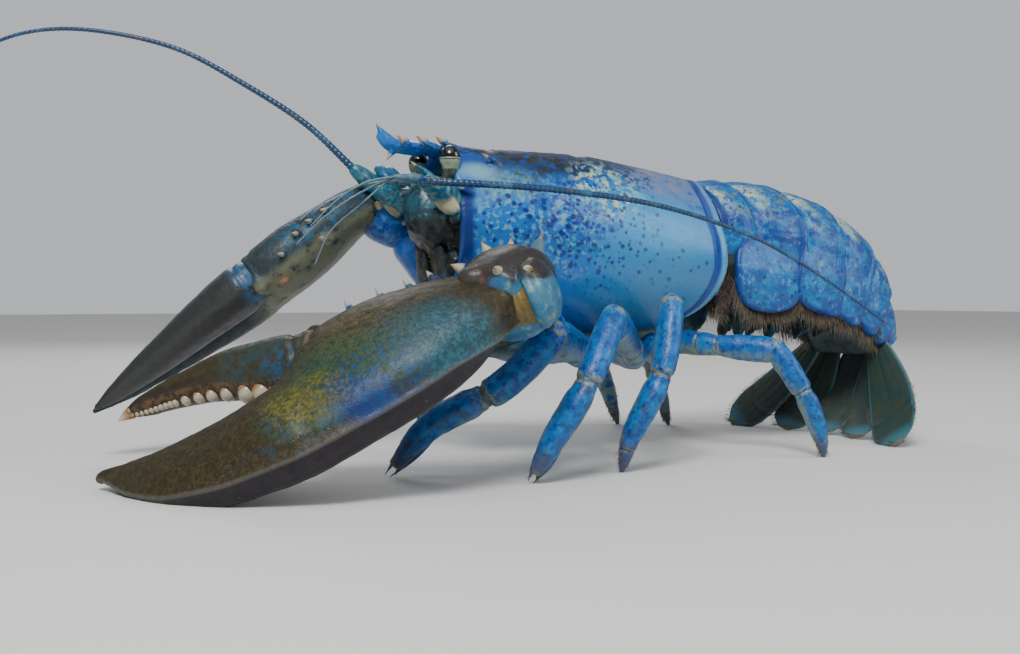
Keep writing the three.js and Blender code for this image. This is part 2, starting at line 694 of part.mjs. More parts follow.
const eye = (side) =>
  new Sweep({
    path: [
      V(-136, side * 6, 104), V(-134.5, side * 10.5, 105.2),
      V(-134, side * 12.8, 108.5), V(-134, side * 13, 114),
    ],
    up: V(-1, 0, 0),
    section: (t) => ({
      all: profile([[0, 2], [0.35, 2.4], [0.5, 3], [0.72, 3.2], [0.86, 2.9], [0.95, 2], [1, 0.9]])(t),
    }),
    rings: 9,
    sides: 10,
  });

// The thick root of an antenna, with the pointed scale that lies outside it.
const feelerRoots = {
  left: [V(-133, -13, 96), V(-140, -19, 98), V(-147, -25, 100.4), V(-152, -27, 101.2)],
  right: [V(-133, 13, 96), V(-142, 17.5, 99.5), V(-150, 20, 104.5), V(-158, 22, 110.5)],
};

function feelerRoot(name, side) {
  const path = feelerRoots[name];
  const stalk = new Sweep({
    path,
    section: (t) => ({ all: profile([[0, 5], [0.3, 5], [0.6, 4.2], [0.9, 2.8], [1, 2]])(t) }),
    rings: 8,
    sides: 8,
  });
  const scale = new Sweep({
    path: [path[1], path[1].clone().add(V(-7, side * 3, 6)), path[1].clone().add(V(-15, side * 5.5, 10))],
    up: V(-0.3, side * -0.8, 0.5),
    section: (t) => {
      const wide = profile([[0, 2.6], [0.4, 3], [0.8, 1.6], [1, 0.4]])(t);
      return { left: wide, right: wide, over: 0.9, under: 0.9 };
    },
    rings: 6,
    sides: 6,
  });
  return fuse(body(stalk), body(scale));
}

const antennaLine = {
  left: [
    V(-151.5, -28, 101.2), V(-147, -34.5, 100.7), V(-128, -41, 100), V(-107, -44, 99), V(-66, -48, 94.7),
    V(-19, -48, 83.4), V(18, -46.5, 68), V(52, -44, 51.2),
  ],
  right: [
    V(-157, 22, 110), V(-172, 30, 126), V(-193, 40, 141), V(-215, 50, 153.5), V(-240, 60, 159.4),
    V(-258, 70, 160), V(-273, 78, 155.6), V(-296, 92, 140), V(-312, 103, 121),
  ],
};

function whip(path, from, to, rings) {
  const thin = profile([[0, 1.5], [0.08, 1.25], [0.5, 0.85], [1, 0.4]]);
  const curve = new THREE.CatmullRomCurve3(path, false, "centripetal");
  const places = Array.from({ length: rings + 1 }, (_, i) => from + ((to - from) * i) / rings);
  const points = places.map((place) => curve.getPointAt(place));
  return new Sweep({
    path: points,
    section: (t) => ({ all: thin(from + (to - from) * t) }),
    rings,
    sides: 6,
  });
}

// The small feelers between the antennae: a stalk with two lashes.
const antennuleLines = {
  left: [
    [V(-151, -4.5, 105), V(-165, -3, 98.5), V(-178, -1.5, 89.5), V(-188, -1, 80)],
    [V(-151, -4.5, 105), V(-164, -6, 102), V(-176, -8, 95), V(-186, -10, 86)],
  ],
  right: [
    [V(-151, 4, 104), V(-163, 0, 95), V(-176, -2.5, 84.5), V(-181.5, -2, 73)],
    [V(-151, 4, 104), V(-163, 5.5, 101.5), V(-174, 7.5, 96), V(-183, 9, 89)],
  ],
};

function antennule(name, side) {
  const lines = antennuleLines[name];
  const stalk = new Sweep({
    path: [V(-137, side * 5, 103), V(-144, side * 4.8, 104.6), lines[0][0].clone().add(V(-0.6, 0, -0.2))],
    section: (t) => ({ all: 2.5 - t }),
    rings: 5,
    sides: 8,
  });
  const lashes = lines.map((path) =>
    body(new Sweep({ path, section: (t) => ({ all: 0.75 - 0.45 * t }), rings: 8, sides: 4 })),
  );
  return fuse(body(stalk), lashes);
}

const maxilliped = (side) =>
  new Sweep({
    path: [
      V(-98, side * 7, 49), V(-113, side * 8.5, 48), V(-126, side * 8.5, 55),
      V(-132, side * 8, 67), V(-136, side * 7, 79),
    ],
    up: V(-1, 0, 0.3),
    section: (t) => {
      const deep = profile([[0, 5], [0.4, 4.8], [0.8, 3.8], [1, 1.6]])(t);
      return { left: 4.4, right: 4.4, over: deep, under: deep };
    },
    rings: 10,
    sides: 8,
  });

const sternum = new Sweep({
  path: [V(-122, 0, 47), V(-90, 0, 44), V(-55, 0, 44), V(-24, 0, 49)],
  section: (t) => {
    const half = profile([[0, 7], [0.2, 12], [0.6, 16], [1, 13]])(t);
    return { left: half, right: half, over: 9, under: 6.5, power: 2.6 };
  },
  rings: 6,
  sides: 10,
});

// Assembly
const colours = {
  shell: 0x3d84d8, dark: 0x2a2c35, claw: 0x4a4438, pale: 0xc9d3c0,
  eye: 0x101018, leg: 0x3f86d2, fan: 0x3a5f66,
};
const lobster = new THREE.Group();
const made = {};

function add(name, piece, colour) {
  made[name] = largest(piece);
  const material = new THREE.MeshStandardMaterial({ color: colour, roughness: 0.4, metalness: 0 });
  const mesh = new THREE.Mesh(geometryOf(made[name]), material);
  mesh.name = name;
  lobster.add(mesh);
}

const shellGrown = carapaceShell(GAP);
const shell = fuse(carapaceShell(), rostrum());
add("carapace", shell, colours.shell);
add("sternum", body(sternum).subtract(shellGrown), colours.pale);
const sternumGrown = body(sternum, GAP);

let ringBefore = shellGrown;
for (let i = 0; i < 6; i++) {
  let ring = tailRing(i).subtract(ringBefore);
  if (i === 1) ring = ring.subtract(shellGrown);
  if (i > 0 && i < 5) ring = fuse(ring, [swimmeret(i, -1), swimmeret(i, 1)]);
  ringBefore = tailRing(i, GAP);
  add(`abdomen_${i + 1}`, ring, colours.shell);
}
const lastRing = tailFrame(tailJoints[6]);
let fan = null;
for (const [name, plate] of Object.entries(fanPlates)) {
  let piece = aboveFloor(beyond(body(fanPlate(plate)), lastRing.at, lastRing.along));
  if (fan) piece = piece.subtract(fan);
  add(name, piece, colours.fan);
  fan = fan ? fuse(fan, body(fanPlate(plate), GAP)) : body(fanPlate(plate), GAP);
}

const rostrumGrown = body(rostrumSweep, GAP);
const headGrown = fuse(shellGrown, rostrumGrown);
add("face", body(faceSweep).subtract(headGrown), colours.pale);
const trunkGrown = fuse(shellGrown, body(faceSweep, GAP), sternumGrown);
const armsGrown = {};
for (const [name, side] of [["left", -1], ["right", 1]]) {
  add(`eye_${name}`, body(eye(side)).subtract(trunkGrown).subtract(rostrumGrown), colours.eye);
  const arm = arms[name];
  const [ischium, merus, carpus] = [armIschium(arm), armMerus(arm), armCarpus(arm)];
  const carpusMiddle = arm.carpus[1].clone().lerp(arm.carpus[2], 0.5);
  const carpusSpines = (grow) => arm.spines.map((tip) => spineAt(tip, carpusMiddle, 6, 1.9, grow));
  const carpusGrown = fuse(body(carpus, GAP), carpusSpines(GAP));
  armsGrown[name] = fuse(body(ischium, GAP), body(merus, GAP));
  add(`arm_${name}_ischium`, body(ischium).subtract(trunkGrown), colours.pale);
  const crest = spineAt(arm.crest, arm.elbow, 11, 3.4);
  const merusFree = fuse(body(merus), crest).subtract(body(ischium, GAP)).subtract(trunkGrown);
  add(`arm_${name}_merus`, merusFree, colours.shell);
  const crestGrown = spineAt(arm.crest, arm.elbow, 11, 3.4, GAP);
  const carpusFree = fuse(body(carpus), carpusSpines(0)).subtract(body(merus, GAP)).subtract(crestGrown);
  add(`arm_${name}_carpus`, carpusFree.subtract(trunkGrown), colours.dark);
  const [claw, palm, finger] = {
    left: ["crusher", crusherPalm, crusherFinger],
    right: ["cutter", cutterPalm, cutterFinger],
  }[name];
  add(`${claw}_palm`, aboveFloor(palm().subtract(carpusGrown).subtract(finger(GAP))), colours.claw);
  add(`${claw}_finger`, finger(), colours.claw);
  const whole = feelerRoot(name, side).subtract(trunkGrown);
  const feeler = whole.subtract(palm(GAP)).subtract(carpusGrown);
  add(`antenna_${name}_root`, feeler.subtract(body(whip(antennaLine[name], 0, 0.5, 14), GAP)), colours.shell);
  const feelers = antennule(name, side).subtract(trunkGrown).subtract(rostrumGrown);
  add(`antennule_${name}`, feelers.subtract(body(eye(side), GAP)), colours.shell);
  const jaw = body(maxilliped(side)).subtract(trunkGrown).subtract(armsGrown[name]).subtract(carpusGrown);
  add(`maxilliped_${name}`, jaw, colours.pale);
}
for (const [name, leg] of Object.entries(legs)) {
  const arm = armsGrown[name.slice(5)];
  const [upper, lower] = walkingLeg(leg);
  add(`${name}_upper`, upper.subtract(trunkGrown).subtract(arm), colours.leg);
  add(`${name}_lower`, lower.subtract(arm), colours.leg);
}
for (const name of ["left", "right"]) {
  for (const [part, from, to] of [[1, 0, 0.5], [2, 0.5, 1]]) {
    const piece = body(whip(antennaLine[name], from, to - (part === 1 ? 0.002 : 0), 14));
    add(`antenna_${name}_${part}`, piece, colours.dark);
  }
}

lobster.position.set(-MIDDLE[0], -MIDDLE[1], 0);

export default lobster;
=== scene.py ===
# %% [markdown]
# # An American lobster at life size
# A lobster is a suit of armour. Each plate is hard and smooth, the next one slides under its edge, and thin
# skin shows only at the joints. The solids give the size and place of every plate. Here each plate is made
# again, fine enough for its grooves, teeth and bristles, and then painted.

import json
import math

import bpy
import numpy as np
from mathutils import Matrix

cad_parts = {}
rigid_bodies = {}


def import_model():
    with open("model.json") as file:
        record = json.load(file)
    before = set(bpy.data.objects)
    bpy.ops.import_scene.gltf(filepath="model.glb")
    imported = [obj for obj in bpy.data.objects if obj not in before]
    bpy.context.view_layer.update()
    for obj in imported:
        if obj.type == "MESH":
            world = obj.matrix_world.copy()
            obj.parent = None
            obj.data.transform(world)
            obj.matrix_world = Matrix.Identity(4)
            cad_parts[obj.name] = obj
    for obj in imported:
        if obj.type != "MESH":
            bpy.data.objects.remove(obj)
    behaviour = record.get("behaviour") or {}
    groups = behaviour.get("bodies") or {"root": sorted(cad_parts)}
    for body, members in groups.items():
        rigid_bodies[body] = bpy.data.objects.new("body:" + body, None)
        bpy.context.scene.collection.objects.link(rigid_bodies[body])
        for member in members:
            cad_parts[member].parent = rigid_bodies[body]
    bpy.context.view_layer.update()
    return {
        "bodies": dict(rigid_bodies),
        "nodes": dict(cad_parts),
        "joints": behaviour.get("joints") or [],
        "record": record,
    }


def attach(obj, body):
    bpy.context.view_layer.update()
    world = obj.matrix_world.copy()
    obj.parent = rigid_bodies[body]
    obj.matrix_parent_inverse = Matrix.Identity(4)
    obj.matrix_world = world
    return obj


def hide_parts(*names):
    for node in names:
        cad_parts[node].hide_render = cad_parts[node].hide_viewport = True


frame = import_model()
print("plates in the frame:", len(frame["nodes"]))

# %% [markdown]
# ## The camera
# The picture was taken from low down, in front of the animal and to its left. The camera comes first, since
# it decides which plates need the most care. Lengths are written in millimetres from the tip of the animal's
# own drawing, as in the solids, so one small function turns them into the metres of the scene.

# %% Millimetres to the scene, and the camera
MIDDLE = np.array([-110.13, 7.52, 0.0])  # the middle of the footprint, which is the scene's origin
CAMERA_PLACE, CAMERA_DOWN, CAMERA_TURN = (-341.18, -415.01, 62), 1.4206, -30  # mm and degrees
LENS, SENSOR = 44.118, 36
SIDES = (("left", -1), ("right", 1))


def to_scene(points):
    return (np.asarray(points, float) - MIDDLE) / 1000


def stand(name, data):
    """Puts an object with this data into the scene."""
    thing = bpy.data.objects.new(name, data)
    bpy.context.collection.objects.link(thing)
    return thing


camera = stand("camera", bpy.data.cameras.new("camera"))
camera.data.lens, camera.data.sensor_width = LENS, SENSOR
camera.location = to_scene(CAMERA_PLACE)
camera.rotation_euler = (math.radians(90 - CAMERA_DOWN), 0, math.radians(CAMERA_TURN))
bpy.context.scene.camera = camera
print("camera at", [round(v, 3) for v in camera.location])
# %% [markdown]
# ## Curves and sections
# Claws, legs and feelers are all tubes along a bent line whose section changes on the way. A profile gives one
# size along the way through a few knots and doesn't overshoot. A path gives points at even steps of length. A
# modifier could bend a cylinder too, but then no place on the leg would have a name.

# %% Profiles and paths
def profile(knots):
    x, y = np.array(knots, float).T
    slope = np.diff(y) / np.diff(x)
    tangent = np.concatenate([slope[:1], np.zeros(len(x) - 2), slope[-1:]])
    for i in range(1, len(x) - 1):
        product = slope[i - 1] * slope[i]
        tangent[i] = 0 if product <= 0 else 2 * product / (slope[i - 1] + slope[i])

    def value(t):
        t = np.clip(np.asarray(t, float), x[0], x[-1])
        i = np.clip(np.searchsorted(x, t, side="right") - 1, 0, len(x) - 2)
        h = x[i + 1] - x[i]
        k = (t - x[i]) / h
        start = y[i] * (1 + 2 * k) * (1 - k) ** 2 + tangent[i] * h * k * (1 - k) ** 2
        return start + y[i + 1] * k * k * (3 - 2 * k) + tangent[i + 1] * h * k * k * (k - 1)

    return value


class Path:
    """A smooth line through points, read at even steps of its length."""

    def __init__(self, points):
        p = np.array(points, float)
        p = np.vstack([2 * p[0] - p[1], p, 2 * p[-1] - p[-2]])
        samples = []
        for a, b, c, d in zip(p, p[1:], p[2:], p[3:]):
            step = [max(1e-6, np.linalg.norm(v) ** 0.5) for v in (b - a, c - b, d - c)]
            m1 = ((b - a) / step[0] - (c - a) / (step[0] + step[1]) + (c - b) / step[1]) * step[1]
            m2 = ((c - b) / step[1] - (d - b) / (step[1] + step[2]) + (d - c) / step[2]) * step[1]
            k = np.linspace(0, 1, 60)[:, None]
            samples.append(
                b * (2 * k**3 - 3 * k**2 + 1) + m1 * (k**3 - 2 * k**2 + k)
                + c * (3 * k**2 - 2 * k**3) + m2 * (k**3 - k**2)
            )
        self.points = np.vstack(samples)
        run = np.concatenate([[0], np.cumsum(np.linalg.norm(np.diff(self.points, axis=0), axis=1))])
        self.length = run[-1]
        self.share = run / run[-1]

    def at(self, t):
        return np.stack([np.interp(t, self.share, self.points[:, i]) for i in range(3)], -1)

    def along(self, t):
        step = 1e-3
        way = self.at(np.minimum(1, np.asarray(t) + step)) - self.at(np.maximum(0, np.asarray(t) - step))
        return way / np.linalg.norm(way, axis=-1, keepdims=True)


def circle(many):
    return np.linspace(0, 2 * math.pi, many, endpoint=False)


def unit(way):
    return way / np.linalg.norm(way)


def section(angles, left, right, over, under, power=2.0):
    """An oval whose four halves have their own sizes. A higher power makes it squarer."""
    c, s = np.cos(angles), np.sin(angles)
    x = np.sign(c) * np.abs(c) ** (2 / power) * np.where(c > 0, right, left)
    return x, np.sign(s) * np.abs(s) ** (2 / power) * np.where(s > 0, over, under)


print("a test profile at its middle:", round(float(profile([[0, 1], [1, 3]])(0.5)), 2))
# %% [markdown]
# ## Limbs and skins
# A skin joins rings of points and closes both ends. A limb makes such rings along a path. Its ends may be
# rounded, because the end of a real leg segment is a knuckle and not a flat cut.

# %% Limbs
LEAST_SCALE = 0.0004  # the square of the smallest scale in a cap, so that no ring shrinks to a point


def quads(a, b):
    """Faces between the rows of point numbers a and the rows b beside them."""
    return np.stack([a, np.roll(a, -1, 1), np.roll(b, -1, 1), b], -1).reshape(-1, 4).tolist()


def skin(rings):
    rows, cols = rings.shape[:2]
    points = np.vstack([rings.reshape(-1, 3), rings[0].mean(0), rings[-1].mean(0)])
    grid = np.arange(rows * cols).reshape(rows, cols)
    fans = [[rows * cols, int(q), int(p)] for p, q in zip(grid[0], np.roll(grid[0], -1))]
    fans += [[rows * cols + 1, int(p), int(q)] for p, q in zip(grid[-1], np.roll(grid[-1], -1))]
    return points, quads(grid[:-1], grid[1:]) + fans


def closed_ring(rings):
    """A ring like a tyre: its sections join round in a loop."""
    grid = np.arange(rings.shape[0] * rings.shape[1]).reshape(rings.shape[:2])
    return rings.reshape(-1, 3), quads(grid, np.roll(grid, -1, 0))


def capped(start, end, caps, steps, round_steps=6):
    """Places along a form as (t, distance beyond it, scale), with a rounded cap at each end."""
    rounds = np.sin(np.linspace(0, math.pi / 2, round_steps))[1:]

    def cap(t, size):
        return [(t, k * size, math.sqrt(max(LEAST_SCALE, 1 - k * k))) for k in rounds] if size else []

    first = [(t, -beyond, scale) for t, beyond, scale in reversed(cap(start, caps[0]))]
    return first + [(t, 0, 1) for t in steps] + cap(end, caps[1])


class Limb:
    def __init__(self, path, size, up=(0, 0, 1), power=2.0):
        self.path = Path(path)
        self.size = size  # size(t) gives left, right, over, under
        self.up = np.array(up, float)
        self.power = power

    def frame(self, t):
        along = self.path.along(t)
        side = np.cross(along, self.up)
        side /= np.linalg.norm(side, axis=-1, keepdims=True)
        return self.path.at(t), side, np.cross(side, along), along

    def skin(self, rows, cols, caps=(0, 0), span=(0, 1)):
        made = []
        for t, beyond, scale in capped(*span, caps, np.linspace(*span, rows + 1)):
            at, side, over, along = self.frame(t)
            x, y = section(circle(cols), *self.size(t), self.power)
            made.append(at + along * beyond + np.outer(x * scale, side) + np.outer(y * scale, over))
        return skin(np.array(made))


def even(knots):
    value = profile(knots)
    return lambda t: [value(t)] * 4


def ball(centre, radii, rows=10, cols=16, lean=None):
    polar = np.linspace(0, math.pi, rows + 2)[1:-1, None]
    angles = circle(cols)
    rings = np.stack([np.sin(polar) * np.cos(angles), np.sin(polar) * np.sin(angles),
                      -np.cos(polar) + 0 * angles], -1) * np.array(radii)
    return skin((rings if lean is None else rings @ np.array(lean).T) + np.array(centre))


def spike(root, tip, radius, sides=10, bend=(0, 0, 0)):
    """A spine that narrows in a curve to a fine tip. bend moves its middle."""
    root, tip = np.array(root, float), np.array(tip, float)
    up = (0, 0, 1) if abs((tip - root)[2]) < 0.8 * np.linalg.norm(tip - root) else (1, 0, 0)
    shape = profile([[0, 1], [0.3, 0.78], [0.7, 0.38], [0.94, 0.1], [1, 0.04]])
    middle = (root + tip) / 2 + np.array(bend)
    return Limb([root, middle, tip], lambda t: [radius * shape(t)] * 4, up=up).skin(9, sides)


print("a ball has", len(ball((0, 0, 0), (1, 1, 1))[1]), "faces")
# %% [markdown]
# ## Melting forms together
# Where a spine or a lobe grows out of a plate, the real shell flows from one into the other. A voxel remesh of
# the overlapping forms gives one skin, and a little smoothing rounds the seams. Booleans would leave sharp
# edges there. Finer relief is then carved along the normals by a function of the place.

# %% Melt, carve and make
def new_mesh(name, points, faces):
    mesh = bpy.data.meshes.new(name)
    mesh.from_pydata(np.asarray(points).tolist(), [], faces)
    return mesh


def read(items, key, kind=float, width=1):
    values = np.empty(len(items) * width, kind)
    items.foreach_get(key, values)
    return values


def melt(forms, voxel=0.55, smooth=4):
    mesh = new_mesh("melting", *join(forms))
    thing = stand("melting", mesh)
    remesh = thing.modifiers.new("voxels", "REMESH")
    remesh.mode, remesh.voxel_size = "VOXEL", voxel
    soften = thing.modifiers.new("soften", "SMOOTH")
    soften.factor, soften.iterations = 0.5, smooth
    result = thing.evaluated_get(bpy.context.evaluated_depsgraph_get()).to_mesh()
    points, corners = read(result.vertices, "co", width=3), read(result.loops, "vertex_index", int)
    ends = np.cumsum(read(result.polygons, "loop_total", int))[:-1]
    bpy.data.objects.remove(thing)
    bpy.data.meshes.remove(mesh)
    return points.reshape(-1, 3), [list(map(int, face)) for face in np.split(corners, ends)]


def join(forms):
    points, faces, start = [], [], 0
    for form in forms:
        points.append(form[0])
        faces += [[i + start for i in face] for face in form[1]]
        start += len(form[0])
    return np.vstack(points), faces


def carve(form, depth):
    """Moves each point along its normal by depth(points), in millimetres: in where it is below zero."""
    points, faces = form
    mesh = new_mesh("carving", points, faces)
    normals = read(mesh.vertex_normals, "vector", width=3).reshape(-1, 3)
    bpy.data.meshes.remove(mesh)
    return points + normals * np.asarray(depth(points))[:, None], faces
def noise(points, lump, seed=0):
    """Smooth random values from -1 to 1, in lumps of about the given size."""
    p = np.asarray(points) / lump + 37.7 * seed + 500
    i = np.floor(p).astype(np.int64)
    f = p - i
    f = f * f * (3 - 2 * f)
    total = 0
    for dx in (0, 1):
        for dy in (0, 1):
            for dz in (0, 1):
                n = (i[:, 0] + dx) * 73856093 ^ (i[:, 1] + dy) * 19349663 ^ (i[:, 2] + dz) * 83492791
                n = (n ^ (n >> 13)) * 1274126177 & 0x7FFFFFFF
                value = ((n ^ (n >> 16)) & 0xFFFF) / 32767.5 - 1
                share = np.abs(1 - dx - f[:, 0]) * np.abs(1 - dy - f[:, 1]) * np.abs(1 - dz - f[:, 2])
                total = total + value * share
    return total


def bump(x, middle, width):
    return np.exp(-(((x - middle) / width) ** 2))


def make(name, forms, finishes, nodes, masks=None):
    """Makes one piece. forms are (points, faces, finish number); masks are named values for its points."""
    points, faces = join(forms)
    mesh = new_mesh(name, to_scene(points), faces)
    numbers = np.concatenate([np.full(len(form[1]), form[2] if len(form) > 2 else 0) for form in forms])
    for look in finishes:
        mesh.materials.append(look)
    mesh.polygons.foreach_set("material_index", numbers.astype(np.int32))
    mesh.polygons.foreach_set("use_smooth", np.ones(len(faces), bool))
    for key, values in (masks or {}).items():
        full = np.zeros(len(points), np.float32)
        full[: len(values)] = values
        mesh.attributes.new(key, "FLOAT", "POINT").data.foreach_set("value", full)
    mesh.update()
    piece = stand(name, mesh)
    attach(piece, "root")
    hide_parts(*nodes)
    print(f"{name}: {len(points)} points, {len(faces)} faces")
    return piece
# %% [markdown]
# ## Paint
# The colour of a lobster lies in layers: a blue ground, paler and darker clouds, small dots of pigment, and
# bands along the edges of the plates. A few layers are painted light and shade: painted highlights on ridges, on
# a rim and on the fronts of the tail rings, and painted shade in gaps, along lobe rims, under a ridge and around
# the mouth. So each finish starts with a ground colour, and layers go over it, each with a mask. The masks come
# from four small node groups that every finish shares.

# %% Shared node groups
def feed(tree, socket, source):
    """Gives a socket a constant, or links it to another socket or to a node's first output."""
    if isinstance(source, bpy.types.Node):
        source = source.outputs[0]
    if isinstance(source, bpy.types.NodeSocket):
        tree.links.new(source, socket)
    else:
        socket.default_value = source


def wire(tree, kind, inputs=None, **settings):
    node = tree.nodes.new("ShaderNode" + kind)
    for key, value in settings.items():
        setattr(node, key, value)
    for key, source in (inputs or {}).items():
        feed(tree, node.inputs[key], source)
    return node


def maths(tree, operation, a, b, kind="Math"):
    return wire(tree, kind, {0: a, 1: b}, operation=operation)


def smooth_step(tree, value, low, high):
    """Runs from 0 where value is low to 1 where it is high."""
    limits = {"Value": value, "From Min": low, "From Max": high}
    return wire(tree, "MapRange", limits, interpolation_type="SMOOTHSTEP", clamp=True)


def cloud_of(tree, place, scale, **values):
    return wire(tree, "TexNoise", {"Vector": place, "Scale": scale, **values})


def new_group(name, output, inputs):
    """A group that takes the place and these inputs, with None for a vector. Gives its sockets too."""
    group = bpy.data.node_groups.new(name, "ShaderNodeTree")
    for label, value in {"Place": None, **inputs}.items():
        kind = "NodeSocketVector" if value is None else "NodeSocketFloat"
        socket = group.interface.new_socket(label, in_out="INPUT", socket_type=kind)
        if value is not None:
            socket.default_value = value
    group.interface.new_socket(output, in_out="OUTPUT", socket_type="NodeSocketFloat")
    enter, leave = group.nodes.new("NodeGroupInput"), group.nodes.new("NodeGroupOutput")
    return group, leave.inputs[0], *enter.outputs[: len(inputs) + 1]


patch_group, out, place, centre, size, ragged, lump, edge = new_group(
    "Soft patch", "Mask", {"Centre": None, "Size": None, "Ragged": 0.002, "Lump": 0.006, "Edge": 0.3})
lumps = cloud_of(patch_group, place, maths(patch_group, "DIVIDE", 1.0, lump), Detail=3.0).outputs["Color"]
centred = maths(patch_group, "SUBTRACT", lumps, (0.5, 0.5, 0.5), "VectorMath")
shifted = wire(patch_group, "VectorMath", {0: centred, "Scale": ragged}, operation="SCALE")
moved = maths(patch_group, "ADD", place, shifted, "VectorMath")
offset = maths(patch_group, "SUBTRACT", moved, centre, "VectorMath")
scaled = maths(patch_group, "DIVIDE", offset, size, "VectorMath")
length = wire(patch_group, "VectorMath", {0: scaled}, operation="LENGTH").outputs["Value"]
far, near = maths(patch_group, "ADD", 1.0, edge), maths(patch_group, "SUBTRACT", 1.0, edge)
feed(patch_group, out, smooth_step(patch_group, length, far, near))

mottle_group, out, place, lump, low, high = new_group(
    "Mottle", "Mask", {"Lump": 0.006, "Low": 0.45, "High": 0.6})
lumps = cloud_of(mottle_group, place, maths(mottle_group, "DIVIDE", 1.0, lump), Detail=4.0, Roughness=0.6)
feed(mottle_group, out, smooth_step(mottle_group, lumps, low, high))

dot_group, out, place, spacing, radius, share = new_group(
    "Pigment dots", "Mask", {"Spacing": 0.004, "Radius": 0.25, "Share": 0.5})
scale = maths(dot_group, "DIVIDE", 1.0, spacing)
wobble = cloud_of(dot_group, place, scale, Detail=2.0).outputs["Color"]
wobble = wire(dot_group, "VectorMath", {0: wobble, "Scale": 0.0012}, operation="SCALE")
wobbled = maths(dot_group, "ADD", place, wobble, "VectorMath")
cells = wire(dot_group, "TexVoronoi", {"Vector": wobbled, "Scale": scale})
chance = wire(dot_group, "SeparateColor", {0: cells.outputs["Color"]}).outputs
varied = wire(dot_group, "MapRange", {"To Min": 0.55, "To Max": 1.0, "Value": chance["Green"]})
grown = maths(dot_group, "MULTIPLY", radius, varied)
edge, inner = maths(dot_group, "ADD", grown, 0.06), maths(dot_group, "MULTIPLY", grown, 0.55)
inside = smooth_step(dot_group, cells, edge, inner)
kept = maths(dot_group, "LESS_THAN", chance["Red"], share)
feed(dot_group, out, maths(dot_group, "MULTIPLY", inside, kept))

grain_group, out, place, size, pits = new_group("Shell grain", "Height", {"Size": 0.0012, "Pits": 0.5})
scale = maths(grain_group, "DIVIDE", 1.0, size)
pores = wire(grain_group, "TexVoronoi", {"Vector": place, "Scale": scale})
deep = maths(grain_group, "MULTIPLY", smooth_step(grain_group, pores, 0.12, 0.4), pits)
feed(grain_group, out, maths(grain_group, "ADD", cloud_of(grain_group, place, scale, Detail=3.0), deep))
print("node groups:", [g.name for g in bpy.data.node_groups])
# %% [markdown]
# A finish is one material: a ground colour, and layers over it. A layer is a colour, a strength and the masks
# that have to meet for it to show. `patch`, `mottle`, `dots` and `mask` say where, and `but` turns a mask round.
# The grain of the shell is a fine bump, and the roughness wanders a little, so that the gloss breaks up.
# %% Finishes
# Soft light pales a glossy shell, so the paint is deeper and richer than it looks.
DEPTH, RICHNESS = 0.55, 1.3


def paint(code):
    values = [int(code[i : i + 2], 16) / 255 for i in (1, 3, 5)]
    values = np.array([v / 12.92 if v <= 0.04045 else ((v + 0.055) / 1.055) ** 2.4 for v in values])
    grey = float(values @ np.array([0.25, 0.6, 0.15]))
    return tuple(float(v) for v in np.clip((grey + (values - grey) * RICHNESS) * DEPTH, 0, 1)) + (1.0,)


def from_group(group, **values):
    def build(tree):
        node = tree.nodes.new("ShaderNodeGroup")
        node.node_tree = group
        for key, value in {"Place": tree.nodes["place"].outputs["Object"], **values}.items():
            feed(tree, node.inputs[key], value)
        return node

    return build


def patch(centre, size, ragged=4.0, lump=7.0, edge=0.35):
    """A soft patch in millimetres. edge is the share of its size over which it fades."""
    centre, size = tuple(to_scene(centre)), tuple(v / 1000 for v in size)
    return from_group(patch_group, Centre=centre, Size=size, Ragged=ragged / 1000, Lump=lump / 1000,
                      Edge=edge)


def mottle(lump, low, high):
    return from_group(mottle_group, Lump=lump / 1000, Low=low, High=high)


def dots(spacing, radius, share):
    return from_group(dot_group, Spacing=spacing / 1000, Radius=radius, Share=share)


def mask(name, low, high):
    return lambda tree: smooth_step(tree, wire(tree, "Attribute", attribute_name=name).outputs["Fac"], low,
                                    high)


def but(other):
    return lambda tree: maths(tree, "SUBTRACT", 1.0, other(tree))


def finish(name, ground, layers, roughness=0.4, grain=1.0, relief=0.25, pits=0.5, coat=0.0, spread=0.12,
           shine=0.5):
    material = bpy.data.materials.new(name)
    material.use_nodes = True
    tree = material.node_tree
    wire(tree, "TexCoord", name="place")
    colour = ground if isinstance(ground, tuple) else paint(ground)
    for code, strength, *masks in layers:
        here = masks[0](tree)
        for other in masks[1:]:
            here = maths(tree, "MULTIPLY", here, other(tree))
        here = maths(tree, "MULTIPLY", here, strength)
        colour = wire(tree, "Mix", {0: here, 6: colour, 7: paint(code)}, data_type="RGBA").outputs[2]
    low, high = roughness - spread / 2, roughness + spread / 2
    rough = wire(tree, "MapRange", {"To Min": low, "To Max": high, "Value": mottle(5, 0.3, 0.7)(tree)})
    height = from_group(grain_group, Size=grain / 1000, Pits=pits)(tree)
    bumps = wire(tree, "Bump", {"Strength": relief, "Distance": 0.0004, "Height": height})
    looks = {"Base Color": colour, "Roughness": rough, "Normal": bumps, "Specular IOR Level": shine,
             "Coat Weight": coat, "Coat Roughness": 0.2}
    for key, source in looks.items():
        feed(tree, tree.nodes["Principled BSDF"].inputs[key], source)
    return material
# %% [markdown]
# ### Horn and spine tips, teeth and joint skin
# The spines are ivory with an amber tip, the teeth of the crusher are like porcelain, and the skin of the
# joints is yellowish and soft. These three are used in many places, so they come first.

# %% Small finishes
spine_finish = finish("spine_ivory", "#cfd2c4", [
    ("#e6d3b0", 0.7, mottle(1.6, 0.4, 0.6)),
    ("#c98a4e", 0.75, mask("tip", 0.55, 0.95)),
    ("#5b9bc4", 0.8, mask("root", 0.55, 0.95)),
], 0.32, 0.5, 0.15, coat=0.1)

tooth_finish = finish("tooth_porcelain", "#a97b52", [
    ("#c9b8a0", 0.6, mottle(1.6, 0.45, 0.6)),
    ("#ece3d0", 0.95, mask("tip", 0.2, 0.75)),
], 0.28, 0.8, 0.12, coat=0.2)

